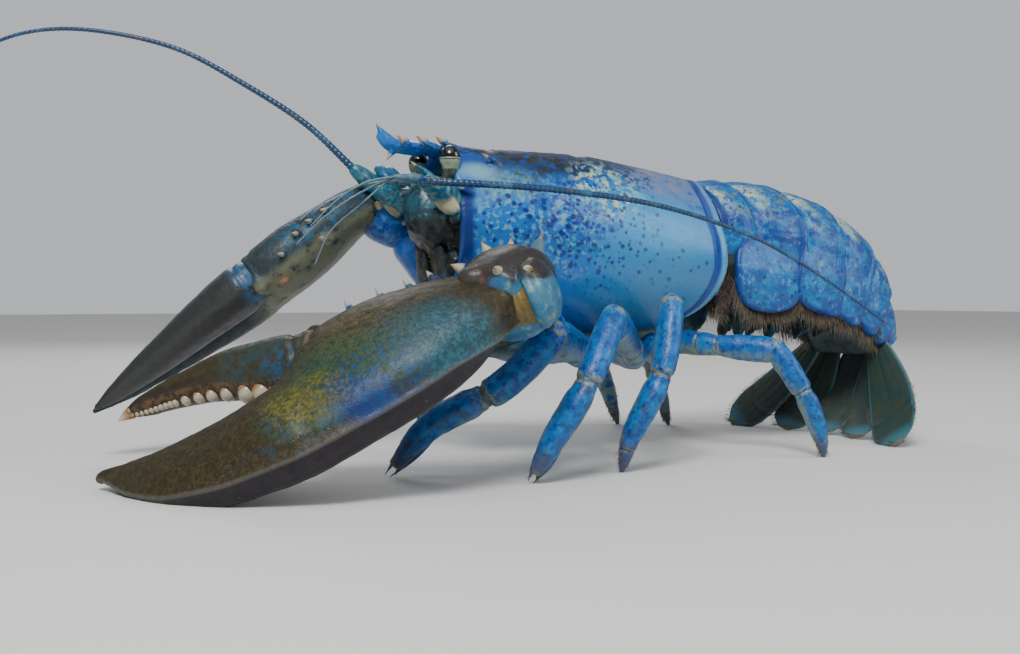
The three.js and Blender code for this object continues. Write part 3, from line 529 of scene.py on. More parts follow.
skin_finish = finish("joint_skin", "#857850", [
    ("#9a8248", 0.7, mottle(3, 0.42, 0.62)),
    ("#5f5f4c", 0.6, mottle(1.8, 0.5, 0.66)),
], 0.5, 0.9, 0.3)


def spikes(specs, sides=10):
    """Spines joined in one form, with masks that run from 0 at the root to 1 at the tip."""
    forms, tips = [], []
    for root, tip, radius, *bend in specs:
        forms.append(spike(root, tip, radius, sides, *bend))
        root, tip = np.array(root, float), np.array(tip, float)
        tips.append(((forms[-1][0] - root) @ (tip - root)) / ((tip - root) @ (tip - root)))
    return (*join(forms), 1), np.concatenate(tips)


def with_tips(plate, *extras, **masks):
    """The masks of a piece whose first form is the plate, and whose next ones are spines or teeth."""
    bare, tips = np.zeros(len(plate[0])), np.concatenate([extra[1] for extra in extras])
    return {"tip": np.concatenate([bare, tips]), "root": np.concatenate([bare, 1 - 1.6 * tips]), **masks}


print("small finishes:", spine_finish.name, tooth_finish.name, skin_finish.name)
# %% [markdown]
# ## Carapace
# The carapace is one shield over head and chest. Its section changes from ring to ring: a domed back, sides
# that bulge at the gills and a narrow lower edge. The beak, or rostrum, grows out of its front with a spine on
# the tip and three on each side. All of it is melted into one skin. The rear edge is a lip with a hollow
# behind it, so that the tail slides in under it as on the real animal.

# %% Carapace shape
SHELL_FRONT, SHELL_REAR, SHELL_HALF = -133, -15, 33
shell_top = profile([[0, 115.5], [0.2, 117.4], [0.45, 117.4], [0.75, 114], [1, 109.5]])
shell_low = profile([[0, 63], [0.12, 54], [0.3, 48], [0.7, 46], [0.9, 47], [1, 50]])
shell_half = profile([[0, 0.6], [0.15, 0.78], [0.4, 0.94], [0.7, 1], [1, 0.93]])
shell_waist = profile([[0, 86], [0.4, 79], [1, 76]])
rear_edge = profile([
    [0, 2], [0.12, 5.5], [0.3, 5.9], [0.45, 4.8], [0.58, 4.6], [0.7, 6.2], [0.83, 10], [0.92, 15], [1, 22],
])


def shell_rings(places, shrink=0.0, forward=0.0):
    s = np.asarray(places, float)[:, None]
    angles = circle(170)[None, :]
    top, low, waist, half = [f(s) for f in (shell_top, shell_low, shell_waist, shell_half)]
    half, over, under = half * SHELL_HALF - shrink, top - waist - shrink, waist - low - shrink
    y, up = section(angles, half, half, over, under, np.where(np.sin(angles) > 0, 2.05, 2.35))
    z = waist + up
    rear = SHELL_REAR - rear_edge((top - z) / (top - low))
    return np.stack([SHELL_FRONT + (rear - SHELL_FRONT) * s - forward, y, z], -1)


front_rim = ((6.0, -6.0), (5.0, -6.0), (1.6, 0.2), (0.5, 0.0))  # how much narrower, and how far forward
rear_rim = ((0.5, 0.0), (1.6, 0.3), (2.4, 2.0), (2.8, 6.5), (6.0, 7.0))
shell_form = skin(np.concatenate(
    [shell_rings([0], *step) for step in front_rim] + [shell_rings(np.linspace(0.006, 0.994, 110))]
    + [shell_rings([1], *step) for step in rear_rim]
))

beak_half = profile([[0, 9], [0.35, 9.5], [0.6, 6.5], [0.85, 3.2], [1, 0.6]])
beak_thick = profile([[0, 3.6], [0.35, 2.8], [0.6, 2.2], [0.85, 2.4], [1, 0.5]])
beak = Limb(
    [(-108, 0, 113), (-128, 0, 115.2), (-142, 0, 116.2), (-151, 0, 117.2), (-157, 0, 123.4)],
    lambda t: [beak_half(t)] * 2 + [beak_thick(t)] * 2, power=1.8,
)
beak_bases, beak_spines = [], []
for side in (-1, 1):
    for x, y, length in ((-131, 8.6, 7), (-138, 7, 7), (-145, 4.6, 6.5)):
        root, tip = (x + 2, side * (y - 3), 115.8), (x - length, side * (y + 1.2), 119.3)
        beak_bases.append(spike(root, tip, 2.2, bend=(0, side * 1.0, -0.5)))
        root, tip = np.array(root), np.array(tip)
        beak_spines.append((root * 0.5 + tip * 0.5, tip + (-0.3, 0, 0.3), 1.6, (0, side * 0.3, -0.2)))
    beak_bases.append(spike((-112, side * 13, 108.5), (-123, side * 17.2, 113.2), 2.6, bend=(0, side, 0.5)))
    beak_spines.append(((-118.5, side * 15.6, 111.5), (-123.6, side * 17.5, 113.7), 1.15))
    beak_bases.append(spike((-128, side * 19, 99), (-136, side * 20.5, 101.5), 2.2))
    beak_spines.append(((-132.5, side * 19.9, 100.4), (-136.6, side * 20.6, 101.8), 0.9))
beak_bases.append(spike((-149, 0, 117), (-153, 0, 111.2), 2.4))
blade = Limb([(-155.6, 0, 120), (-153.4, 0, 117), (-149, 0, 115.4), (-141, 0, 114.6)],
             lambda t: [1.3 + t] * 2 + [1.6 + 0.8 * t, 1.9 - 0.5 * t])
beak_bases.append(blade.skin(24, 24, caps=(1, 1)))
beak_spines += [((-154.6, 0, 120.6), (-157.3, 0, 124.2), 1.3), ((-151.6, 0, 113.4), (-153.2, 0, 110.9), 0.95)]
shield = melt([shell_form, beak.skin(40, 28, caps=(0, 0.5))] + beak_bases, 0.62, 5)


def shell_masks(points):
    x, y, z = points.T
    share = np.clip((shell_top(1.0) - z) / (shell_top(1.0) - shell_low(1.0)), 0, 1)
    rear = SHELL_REAR - rear_edge(share) - x
    neck = x - (-72 - 40 * np.clip((118 - z) / 46, 0, 1) ** 0.8)
    return rear, neck


def shell_relief(points):
    rear, neck = shell_masks(points)
    x, y, z = points.T
    side = np.clip((z - 66) / 8, 0, 1)
    depth = -0.7 * bump(neck, 0, 3.0) * side + 0.15 * bump(neck, 6, 4.5) * side
    depth -= 0.75 * bump(rear, 6, 1.1)
    depth += 0.35 * bump(rear, 2.6, 2.2)
    depth -= 0.35 * bump(y, 0, 0.7) * (z > 105) * (x > -100) * (rear > 7)
    depth += 0.10 * noise(points, 2.2, 1) * np.clip((z - 92) / 16, 0, 1) * (rear > 8)
    depth += 0.05 * noise(points, 5.0, 2)
    return depth * (rear > -0.8)


shield = carve(shield, shell_relief)
rear_distance, _ = shell_masks(shield[0])
front_distance = shield[0][:, 0] - SHELL_FRONT + 40 * (shield[0][:, 2] > 103)
print("the shield reaches from", shield[0].min(0).round(1), "to", shield[0].max(0).round(1))

# %% [markdown]
# Its colours, from the ground up. Each side is painted by the same patches, because they are centred on the
# middle plane and reach far to both sides.

# %% Carapace colours
wide = 90
dotted = patch((-84, 0, 84), (38, wide, 27), 9, 12, 0.4)
front_dots = patch((-105, 0, 86), (27, wide, 20), 6, 9, 0.25)
front_band = mask("front", 6.0, 3.2)
shell_finish = finish("shell_blue", "#2f86d4", [
    ("#62bdf2", 0.75, patch((-58, 0, 88), (36, wide, 17), 7, 16, 0.5)),
    ("#1f74c8", 0.35, patch((-102, 0, 74), (15, wide, 13), 7, 12, 0.45)),
    ("#5e9fc8", 0.7, patch((-45, 0, 62), (42, wide, 14), 6, 14, 0.45)),
    ("#3c7fb0", 0.8, patch((-75, 0, 46), (60, wide, 7), 5, 9, 0.4)),
    ("#1b57ab", 0.5, mottle(3, 0.5, 0.6), patch((-70, 0, 46), (60, wide, 8), 5, 9)),
    ("#8fa0c8", 0.75, patch((-34, 0, 110), (28, wide, 15), 9, 14, 0.5)),
    ("#b3a6ac", 0.7, mottle(5, 0.5, 0.62), patch((-45, 0, 112), (26, wide, 11), 8, 12)),
    ("#3f63b8", 0.6, mottle(4, 0.5, 0.66), patch((-28, 0, 103), (16, wide, 12), 6, 9)),
    ("#7fb6b0", 0.65, patch((-114, 0, 102), (11, wide, 5.5), 5, 6, 0.45)),
    ("#a9b98f", 0.6, mottle(2.4, 0.48, 0.6), patch((-110, 0, 102), (14, wide, 6), 6, 6)),
    ("#1f3a66", 0.85, patch((-92, 0, 118), (38, wide, 13), 7, 9, 0.35)),
    ("#262722", 0.9, mottle(6, 0.36, 0.52), patch((-92, 0, 119), (37, wide, 12), 7, 9)),
    ("#494a30", 0.8, mottle(2.6, 0.5, 0.6), patch((-103, 0, 110), (18, wide, 8), 6, 7)),
    ("#1c55ac", 0.8, mottle(3.0, 0.52, 0.6), patch((-92, 0, 108), (26, wide, 9), 6, 7)),
    ("#9fe0f4", 0.9, mottle(3.4, 0.5, 0.58), patch((-74, 0, 101), (15, wide, 11), 7, 8)),
    ("#e9f0cf", 0.95, mottle(2.8, 0.53, 0.6), patch((-75, 0, 102), (14, wide, 11), 6, 7)),
    ("#3b3340", 0.8, mottle(2.4, 0.5, 0.58), patch((-58, 0, 108), (9, wide, 6), 4, 5)),
    ("#12389a", 0.9, mottle(4.2, 0.47, 0.56), patch((-92, 0, 90), (19, wide, 11), 7, 8)),
    ("#2f7fd6", 0.6, mottle(3.0, 0.42, 0.56), front_dots),
    ("#9ad4dc", 0.7, mottle(2.2, 0.5, 0.6), front_dots),
    ("#0c2f84", 0.95, dots(3.0, 0.46, 0.9), front_dots),
    ("#0d348a", 0.92, dots(2.6, 0.42, 0.8), patch((-84, 0, 86), (27, wide, 21), 7, 9)),
    ("#10388c", 0.9, dots(3.4, 0.34, 0.75), dotted),
    ("#123c94", 0.8, dots(4.6, 0.26, 0.6), patch((-52, 0, 84), (38, wide, 26), 7, 9)),
    ("#2a5cb0", 0.95, patch((-125, 0, 110.5), (7, wide, 4.2), 1.2, 3, 0.35)),
    ("#2b78e6", 0.8, but(mottle(3, 0.4, 0.6)), patch((-140, 0, 117), (16, 12, 5), 2, 3)),
    ("#253a46", 0.75, mottle(2.4, 0.48, 0.6), patch((-137, 0, 117.5), (13, 12, 3), 2, 3)),
    ("#8cc0d4", 0.7, mottle(1.7, 0.55, 0.66), patch((-140, 0, 116.5), (15, 12, 5), 2, 3)),
    ("#9fd0dc", 0.8, patch((-125, 0, 107.4), (6.5, wide, 2.8), 3.2, 4, 0.7)),
    ("#0f2f80", 0.93, front_band),
    # painted highlight, toned down: a thin lighter strip on the front rim, over the navy band
    ("#2c5a9c", 0.6, mask("front", 1.4, 0.4)),
    ("#144a9e", 0.92, mask("rear", 3.6, 4.6), mask("rear", 8.0, 6.8)),
    ("#86c8ee", 0.8, mask("rear", 4.0, 2.6), but(mottle(2, 0.5, 0.7))),
    ("#c9a184", 0.75, mask("rear", 0.9, 0.3)),
], 0.32, 1.3, 0.22, pits=0.35, coat=0.15)
spines = spikes(beak_spines, 12)
make(
    "carapace_shield", [shield, spines[0]], [shell_finish, spine_finish], ["carapace"],
    with_tips(shield, spines, rear=rear_distance, front=front_distance),
)

# %% [markdown]
# ## Tail rings
# Six rings carry the tail round its bend. Each has a tucked front, a shallow groove, a domed back and a rear
# edge that rides over the next ring. A lobe, the pleuron, hangs from each flank. The tail's mid line lies in one
# plane, so for every point of a ring the nearest place on that line says where it is between front and rear.

# %% Tail rings
tail_line = Path([
    (-22, 0, 86), (0, 0, 87), (24, 0, 84), (48, 0, 77), (65, 0, 66), (75, 0, 52), (82, 0, 36), (88, 0, 21),
])
line_share = np.linspace(0, 1, 2001)
line_points = tail_line.at(line_share)
tail_end = line_share[np.argmin(np.linalg.norm(line_points - np.array([82, 0, 36]), axis=1))]
TAIL_HALF, LOBE_POWER = 31, 2.7
tail_joints = [0.045, 0.125, 0.29, 0.475, 0.65, 0.8, 0.965]
tail_slants = [0, 0.015, 0.045, 0.04, 0.03, 0.02, 0]
tail_half = profile([[0, 0.86], [0.12, 0.92], [0.3, 1], [0.6, 0.96], [0.85, 0.78], [1, 0.66]])
tail_over = profile([[0, 22.5], [0.17, 23.6], [0.4, 24], [0.7, 21], [0.9, 15.5], [1, 11]])
belly_depth = profile([[0, 17], [0.17, 24], [0.4, 24], [0.6, 20], [0.85, 13], [1, 10]])
pleura = [
    None, (3, 71, 18, 15.6, 2), (30, 70.5, 13.5, 15, 14), (46.5, 66.5, 12.5, 14, 28),
    (61.5, 60.5, 11.5, 12, 40), (72.5, 51.5, 8.5, 8, 56),
]


def tail_frame(t):
    t = np.asarray(t) * tail_end
    along = tail_line.along(t)
    up = np.stack([-along[..., 2], np.zeros_like(along[..., 0]), along[..., 0]], -1)
    return tail_line.at(t), along, up


def joint_at(index, angle):
    return tail_joints[index] + tail_slants[index] * (1 - np.cos(np.minimum(angle, math.pi / 2)))


def hoop(index, u, angles):
    turn = np.abs(angles)
    t = joint_at(index, turn) * (1 - u) + joint_at(index + 1, turn) * u
    step = 1.6 * max(0, 1 - u) ** 2 if u < 1 else (u - 1) * 26
    half = tail_half(t) * TAIL_HALF - step
    back = turn < math.pi / 2
    high = np.where(back, tail_over(t) - step, belly_depth(t) - step)
    power = np.where(back, 0.94, 0.6)
    across = half * np.abs(np.sin(turn)) ** power * np.sign(angles)
    height = high * np.sign(np.cos(turn)) * np.abs(np.cos(turn)) ** power
    at, _, up = tail_frame(t)
    return at + up * height[:, None] + np.stack([0 * across, across, 0 * across], -1)


def pleuron(index):
    """A lobe's place, its half width and depth, the cosine and sine of its lean, and how far out it hangs."""
    x, z, half, deep, lean = pleura[index]
    flank = tail_half((tail_joints[index] + tail_joints[index + 1]) / 2) * TAIL_HALF
    return x, z, half, deep, math.cos(math.radians(lean)), math.sin(math.radians(lean)), flank


def lobe(index, side):
    x, z, half, deep, c, s, flank = pleuron(index)
    angles = circle(72)
    rings = []
    for out, share in ((-3.2, 0.7), (-2.4, 0.93), (-1.2, 1), (0.1, 0.995), (0.8, 0.96), (1.2, 0.88),
                       (1.35, 0.6), (1.4, 0.3)):
        a, b = section(angles, half, half, deep, deep, LOBE_POWER)
        if index > 1:
            a, b = a + 0.22 * half * bump(angles, 5.5, 0.42), b - 0.16 * deep * bump(angles, 5.4, 0.42)
        a, b = a * share, b * share
        tuck = 2.4 * np.clip((b / deep - 0.1) / 0.7, 0, 1)
        rings.append(np.stack([x + a * c + b * s, side * (flank + out - tuck), z - a * s + b * c], -1))
    return skin(np.array(rings))


def tail_masks(index, points):
    """u runs from front to rear, turn from the back to the belly, border from a lobe's middle to its rim."""
    x, y, z = points.T
    gap = (x[:, None] - line_points[None, ::4, 0]) ** 2 + (z[:, None] - line_points[None, ::4, 2]) ** 2
    t = line_share[::4][np.argmin(gap, 1)] / tail_end
    at, _, up = tail_frame(t)
    turn = np.arctan2(np.abs(y), ((points - at) * up).sum(1))
    first, last = joint_at(index, turn), joint_at(index + 1, turn)
    on_lobe = border = np.zeros(len(points))
    if pleura[index]:
        x0, z0, half, deep, c, s, flank = pleuron(index)
        a, b = (x - x0) * c - (z - z0) * s, (x - x0) * s + (z - z0) * c
        on_lobe = np.clip((turn - 1.3) / 0.3, 0, 1) * (np.abs(y) > flank - 3.9)
        power = LOBE_POWER
        border = on_lobe * (np.abs(a / half) ** power + np.abs(b / deep) ** power) ** (1 / power)
    belly = np.clip((turn - 1.75) / 0.2, 0, 1) * (1 - on_lobe)
    return {"u": (t - first) / (last - first), "turn": turn, "border": border, "lobe": on_lobe,
            "belly": belly}


flank = mask("turn", 0.5, 0.8), mask("turn", 1.5, 1.1)
on_lobe = mask("lobe", 0.3, 0.8)
on_back = mask("turn", 1.55, 1.3)
tail_finish = finish("tail_blue", "#2582c8", [
    ("#55b0e2", 0.5, mottle(10, 0.44, 0.64)),
    ("#0f56a6", 0.75, mottle(6, 0.5, 0.62)),
    ("#3c74ac", 0.35, mask("turn", 0.75, 0.35)),
    # painted highlight: a pale cream patch on each ring's flank, behind its groove, where the domed front catches
    # light
    ("#c9e6df", 0.85, *flank, mask("u", 0.12, 0.26), mask("u", 0.62, 0.35), mottle(5, 0.42, 0.56)),
    ("#8f9a72", 0.75, *flank, mask("u", 0.25, 0.45), mottle(4, 0.5, 0.6)),
    # painted highlight: near-white patches at the domed front of each ring, just behind its groove
    ("#f3f2d6", 0.9, mask("u", 0.08, 0.16), mask("u", 0.36, 0.22), mask("turn", 0.35, 0.6),
     mask("turn", 1.15, 0.9), mottle(3, 0.46, 0.54)),
    ("#0d4ea2", 0.85, mask("turn", 1.0, 1.3), mask("turn", 1.9, 1.55), mottle(4.5, 0.46, 0.56)),
    ("#4ba2e2", 0.7, on_lobe, mask("border", 0.9, 0.6), mottle(7, 0.4, 0.6)),
    ("#a3cdd6", 0.6, on_lobe, mask("border", 0.8, 0.4), mottle(4.5, 0.54, 0.66)),
    ("#1158a4", 0.8, on_lobe, mottle(7, 0.47, 0.6)),
    # painted shade along each lobe's rim, in place of a raised border
    ("#10509e", 0.85, on_lobe, mask("border", 0.85, 0.95)),
    # painted shade: a dark line at the front of each ring, where it tucks under the ring ahead
    ("#0c2f80", 0.9, on_back, mask("u", 0.12, 0.03)),
    ("#0e2f7c", 0.8, dots(2.4, 0.4, 0.7), mottle(7, 0.4, 0.54)),
    ("#9fd0e6", 0.5, mottle(1.8, 0.56, 0.66), mottle(8, 0.44, 0.56)),
    ("#a08c88", 0.45, mask("u", 0.96, 0.99), on_back),
    ("#56655f", 0.95, mask("belly", 0.3, 0.7)),
    ("#3a4a4c", 0.8, mask("belly", 0.3, 0.7), mottle(3.5, 0.46, 0.6)),
], 0.38, 1.1, 0.3, pits=0.5, coat=0.06, shine=0.4)

under_finish = finish("belly_skin", "#3d5a62", [
    ("#6c8078", 0.7, mottle(4, 0.46, 0.62)),
    ("#263e4a", 0.7, mottle(2.4, 0.5, 0.64)),
    ("#4f86a8", 0.6, mottle(7, 0.52, 0.62)),
], 0.46, 1.0, 0.3)


blade = profile([[0, 2], [0.25, 1.9], [0.6, 4.6], [0.85, 3.9], [1, 1.2]])


def swimmeret(index, side):
    """A stalk with two soft blades, which hangs under a tail ring."""
    t = (tail_joints[index] + tail_joints[index + 1]) / 2
    length = 24 - index * 1.5
    at, along, up = tail_frame(t)
    root = at + up * (4 - belly_depth(t)) + (0, side * 14, 0)
    forms = []
    for spread, size in ((-2.4, 0.82), (2.6, 1.0)):
        end = root - up * length * size - along + (0, side * 1.5 + spread, 0)
        limb = Limb([root, root * 0.6 + end * 0.4 + (0, spread * 0.3, 0), end],
                    lambda k: [blade(k)] * 2 + [0.7] * 2, up=along)
        forms.append(limb.skin(18, 16, caps=(0, 1)))
    return forms


TAIL_STEPS = [-0.16, -0.06, 0.03, 0.1, 0.2, 0.32, 0.45, 0.58, 0.7, 0.82, 0.92, 0.98, 1.01, 1.04, 1.05]
round_ring = np.linspace(-math.pi, math.pi, 150, endpoint=False)
for index in range(6):
    ring = skin(np.array([hoop(index, u, round_ring) for u in TAIL_STEPS]))
    ring = melt([ring] + ([lobe(index, -1), lobe(index, 1)] if pleura[index] else []), 0.55, 4)
    masks = tail_masks(index, ring[0])
    u, turn, border = masks["u"], masks["turn"], masks["border"]

    def relief(points):
        depth = -0.55 * bump(u, 0.17, 0.045) * (turn < 1.7) + 0.3 * bump(u, 0.5, 0.28)
        depth += 0.35 * bump(u, 0.955, 0.03) * (turn < 1.8) - 0.3 * bump(u, 0.9, 0.03) * (turn < 1.8)
        depth += 0.12 * bump(border, 0.95, 0.04) - 0.12 * bump(border, 0.84, 0.06)
        depth -= 0.12 * bump(turn, 1.42, 0.12) * (u > 0.15)
        return depth + 0.09 * noise(points, 2.4, index + 3) + 0.06 * noise(points, 6, index)

    blades = [form + (1,) for side in (-1, 1) for form in swimmeret(index, side)] if 0 < index < 5 else []
    make(f"tail_ring_{index + 1}", [carve(ring, relief)] + blades, [tail_finish, under_finish],
         [f"abdomen_{index + 1}"], masks)

# %% [markdown]
# ## Tail fan
# The middle plate, or telson, and two plates on each side hang from the last ring down to the floor. They are
# thin and ribbed. The outer plates are jointed across, and the joint is carved as a groove; on the real animal it
# carries a row of small teeth. All the rims carry a brush of bristles, which is made further below from the rim
# points that are kept here.

# %% Tail fan
fan_plates = {
    "telson": ((84, 0, 41), (59, 0, 1.2), (-0.86, 0, 0.5), 14, 1.7, -3),
}
for word, side in SIDES:
    fan_plates[f"uropod_{word}_inner"] = (
        (80, side * 13, 39), (58, side * 23, 1.2), (-0.86, -side * 0.08, 0.5), 12.5, 1.4, -3)
    fan_plates[f"uropod_{word}_outer"] = (
        (75, side * 18, 41), (51.5, side * 51.5, 0.9), (-0.9, -side * 0.05, 0.43), 11.8, 1.4, -2.5)

fan_finish = finish("tail_fan_green", "#435552", [
    ("#44647a", 0.45, mottle(9, 0.42, 0.62)),
    ("#4f5844", 0.8, mask("inner", 0.3, 0.7), mottle(9, 0.4, 0.64)),
    ("#2c3c40", 0.5, mask("rib", 0.3, 0.8), mask("inner", 0.3, 0.7)),
    ("#2a6cb4", 0.9, mask("inner", 0.6, 0.3)),
    ("#123c8c", 0.75, mask("inner", 0.6, 0.3), mottle(5, 0.46, 0.6)),
    ("#8fc0cc", 0.6, mask("inner", 0.6, 0.3), mottle(2.6, 0.54, 0.64)),
    ("#1c3a5c", 0.6, mask("rib", 0.3, 0.8), mask("inner", 0.6, 0.3)),
    ("#66a2b4", 0.75, mask("rim", 0.84, 0.97)),
    ("#b98d62", 0.5, mask("rim", 0.965, 0.99)),
], 0.55, 1.2, 0.2, pits=0.3, coat=0.0, shine=0.22)

wide_share = profile([[0, 0.38], [0.15, 0.62], [0.5, 0.94], [0.75, 1], [0.92, 0.78], [1, 0.34]])
deep_share = profile([[0, 1.5], [0.3, 1], [1, 0.45]])
rim_points = []
for name, (root, rim, facing, half, thick, bow) in fan_plates.items():
    root, rim, facing = [np.array(v, float) for v in (root, rim, facing)]
    plate = Limb(
        [root, (root + rim) / 2 + facing * bow, rim],
        lambda t: [half * wide_share(t)] * 2 + [thick * deep_share(t)] * 2, up=facing, power=2.2,
    )
    form = plate.skin(90, 96, caps=(2, 0.5))
    steps = np.linspace(0, 1, 200)
    at, across, over, _ = plate.frame(steps)
    nearest = np.argmin(((form[0][:, None, :] - at[None]) ** 2).sum(2), 1)
    offset = form[0] - at[nearest]
    k = steps[nearest]
    spread = (offset * across[nearest]).sum(1) / (half * wide_share(k))
    height = (offset * over[nearest]).sum(1)
    ribs = bump(spread, 0, 0.07) + 0.7 * (bump(spread, -0.42, 0.05) + bump(spread, 0.42, 0.05))
    ribs = ribs * np.clip(1.15 - k, 0, 1)
    fine = 0.04 * np.sin(spread * 60) * np.clip((k - 0.55) / 0.3, 0, 1)
    across_joint = 0.5 * bump(k, 0.74 - 0.05 * spread**2, 0.018) if name.endswith("outer") else 0
    depth = np.where(height > 0, 0.22, 0.35) * ribs + fine - across_joint
    form = carve(form, lambda points: depth * (np.abs(spread) < 0.93))
    form[0][:, 2] = np.maximum(form[0][:, 2], 0.0)
    rim_share = np.maximum(np.abs(spread), k)
    make(name + "_plate", [form], [fan_finish], [name],
         {"inner": (height > 0).astype(float), "rib": np.clip(ribs, 0, 1), "rim": rim_share})
    for k in np.linspace(0.5, 1, 26):
        at, across, over, along = plate.frame(k)
        reach = half * wide_share(k) * 0.96
        for way in (-1, 1):
            rim_points.append((at + across * way * reach, across * way * (1.1 - k) + along * (0.25 + k)))
    at, across, over, along = plate.frame(1.0)
    for way in np.linspace(-0.34, 0.34, 9):
        rim_points.append((at + across * way * half, along + across * way * 0.6))
print("points on the rims of the fan:", len(rim_points))

# %% [markdown]
# ## Claws
# The left claw crushes, with round teeth like molars, and the right one cuts and is slimmer. Both lie along an
# axis from wrist to finger tip, and `ClawFrame` turns a place along, across and above that axis into a point,
# and back again. So bands, ridges and colours can be written in the claw's own terms.

# %% The claws' own frame
class ClawFrame:
    def __init__(self, wrist, tip, across):
        wrist, tip, across = [np.array(v, float) for v in (wrist, tip, across)]
        self.wrist, self.length = wrist, np.linalg.norm(tip - wrist)
        self.axis = (tip - wrist) / self.length
        self.side = unit(across - across @ self.axis * self.axis)
        self.back = np.cross(self.axis, self.side)
        self.back *= np.sign(self.back[2])

    def place(self, s, across, up):
        s, across, up = [np.asarray(v, float)[..., None] for v in (s, across, up)]
        return self.wrist + self.axis * s * self.length + self.side * across + self.back * up

    def read(self, points):
        offset = points - self.wrist
        return offset @ self.axis / self.length, offset @ self.side, offset @ self.back


def claw_skin(frame, shape, start, end, rows=110, cols=110, power=2.3, caps=(4, 3), flat=1.0):
    outer, inner, thick = shape
    rings = []
    for s, extra, scale in capped(start, end, caps, np.linspace(start, end, rows), 7):
        middle, half = (outer(s) + inner(s)) / 2, (inner(s) - outer(s)) / 2
        x, y = section(circle(cols), half, half, thick(s), thick(s) * flat, power)
        rings.append(frame.place(s + extra / frame.length, middle + x * scale, y * scale))
    return skin(np.array(rings))


def teeth(frame, edge, way, places):
    """Round teeth on a biting edge. places are (s, radius, height); way is -1 or 1 across."""
    forms, tips = [], []
    axes = np.array([frame.axis, frame.side, frame.back]).T
    for s, radius, height in places:
        centre = frame.place(s, edge(s) - way * radius * 0.35, 0)
        forms.append(ball(centre, (radius, height, radius * 1.15), 9, 14, lean=axes))
        tips.append(((forms[-1][0] - centre) @ frame.side) * way / height)
    return (*join(forms), 2), np.concatenate(tips)


def outline(*knots):
    """The profiles of a claw's outer edge, inner edge and thickness."""
    return [profile(k) for k in knots]


crusher_frame = ClawFrame((-147, -78, 59), (-254, -6, 4), (0.295, 0.816, 0.533))
cutter_frame = ClawFrame((-146, 28, 100), (-240, 74, 19), (-0.461, -0.865, 0.13))
crusher = outline(
    [[0, -8], [0.06, -16.5], [0.18, -28], [0.35, -35.5], [0.5, -40],
             [0.65, -39], [0.8, -32], [0.92, -18], [1, -3]],
    [[0, 8], [0.06, 15], [0.18, 21], [0.35, 24], [0.455, 23], [0.5, 7], [0.56, 0], [0.8, -3], [0.92, -1],
     [1, 3]],
    [[0, 9], [0.1, 14], [0.28, 17], [0.5, 14], [0.7, 10], [0.9, 6], [1, 2.4]],
)
crusher_thumb = outline(
    [[0.44, 4], [0.5, 4], [0.58, 7], [0.72, 19], [0.83, 25], [0.93, 28], [0.965, 30]],
    [[0.44, 19], [0.48, 24], [0.58, 31], [0.7, 36], [0.83, 35], [0.93, 33], [0.965, 32]],
    [[0.44, 9], [0.5, 11.5], [0.6, 10.5], [0.8, 7], [0.93, 4], [0.965, 1.5]],
)
cutter = outline(
    [[0, -7], [0.06, -13], [0.2, -20], [0.4, -22], [0.55, -20], [0.7, -16], [0.85, -10], [0.95, -5], [1, -1]],
    [[0, 7], [0.06, 13], [0.2, 20], [0.34, 22], [0.4, 20], [0.45, 3], [0.56, -2], [0.75, -4], [0.9, -3],
     [1, 1]],
    [[0, 7.5], [0.1, 8.8], [0.28, 11.4], [0.48, 10.3], [0.7, 7.3], [0.9, 4.2], [1, 1.4]],
)
cutter_thumb = outline(
    [[0.38, 2], [0.46, 1], [0.6, 0.5], [0.75, -1.5], [0.9, -1], [0.99, 1.5]],
    [[0.38, 18], [0.45, 22], [0.58, 20], [0.75, 14], [0.9, 8], [0.99, 3.5]],
    [[0.38, 7.5], [0.46, 9.2], [0.6, 8], [0.8, 5.5], [0.93, 3], [0.99, 1]],
)
print("crusher length", round(crusher_frame.length, 1), "cutter length", round(cutter_frame.length, 1))

# %% [markdown]
# ### The crusher
# Its outer edge carries a flat band below a ridge line, and a row of spines stands on the inner edge. The band is
# painted dark as painted shade, and the ridge line carries a painted highlight.
# Dark olive covers most of it, with gold specks and a deep blue cloud in the middle of the palm.

# %% Crusher
def claw_spines(frame, inner, places, size):
    bases, tips = [], []
    for s, up in places:
        root = frame.place(s, inner(s) - size * 0.9, up)
        tip = frame.place(s + 0.022, inner(s) + size * 0.95, up + size * 0.35)
        bases.append(spike(root, tip, size * 0.5))
        tips.append((root * 0.42 + tip * 0.58, tip + (tip - root) * 0.04, size * 0.25))
    return bases, spikes(tips, 12)


def claw_piece(name, frame, shape, form, look, *extras, **more):
    """Makes a palm or a finger with its spines and teeth, and the masks that its paint uses."""
    s, across, up = frame.read(form[0])
    masks = with_tips(form, *extras, along=s, edge=across - shape[0](s), inner=shape[1](s) - across, up=up,
                      **more)
    make(name + "_shell", [form] + [extra[0] for extra in extras], [look, spine_finish, tooth_finish],
         [name], masks)


bases, spines = claw_spines(
    crusher_frame, crusher[1], [(0.13, 7), (0.19, 6), (0.26, 6), (0.34, 6), (0.435, 3)], 5.5)
knuckle = ball(crusher_frame.place(0.45, 19, 3.5), (5.2, 5.2, 6), 14, 20)
palm = melt([claw_skin(crusher_frame, crusher, 0, 1, flat=0.52, caps=(5, 3)), knuckle] + bases, 0.62, 5)
along, across, up = crusher_frame.read(palm[0])
in_from_edge = across - crusher[0](along)
ridge_height = profile([[0, -3], [0.05, -0.5], [0.1, 2.2], [0.16, 4.2], [0.31, 5], [0.5, 5.7], [0.71, 5],
                        [0.85, 3.6], [1, 1.2]])
over_ridge = up - ridge_height(along) + 0.12 * np.maximum(0, in_from_edge - 3)


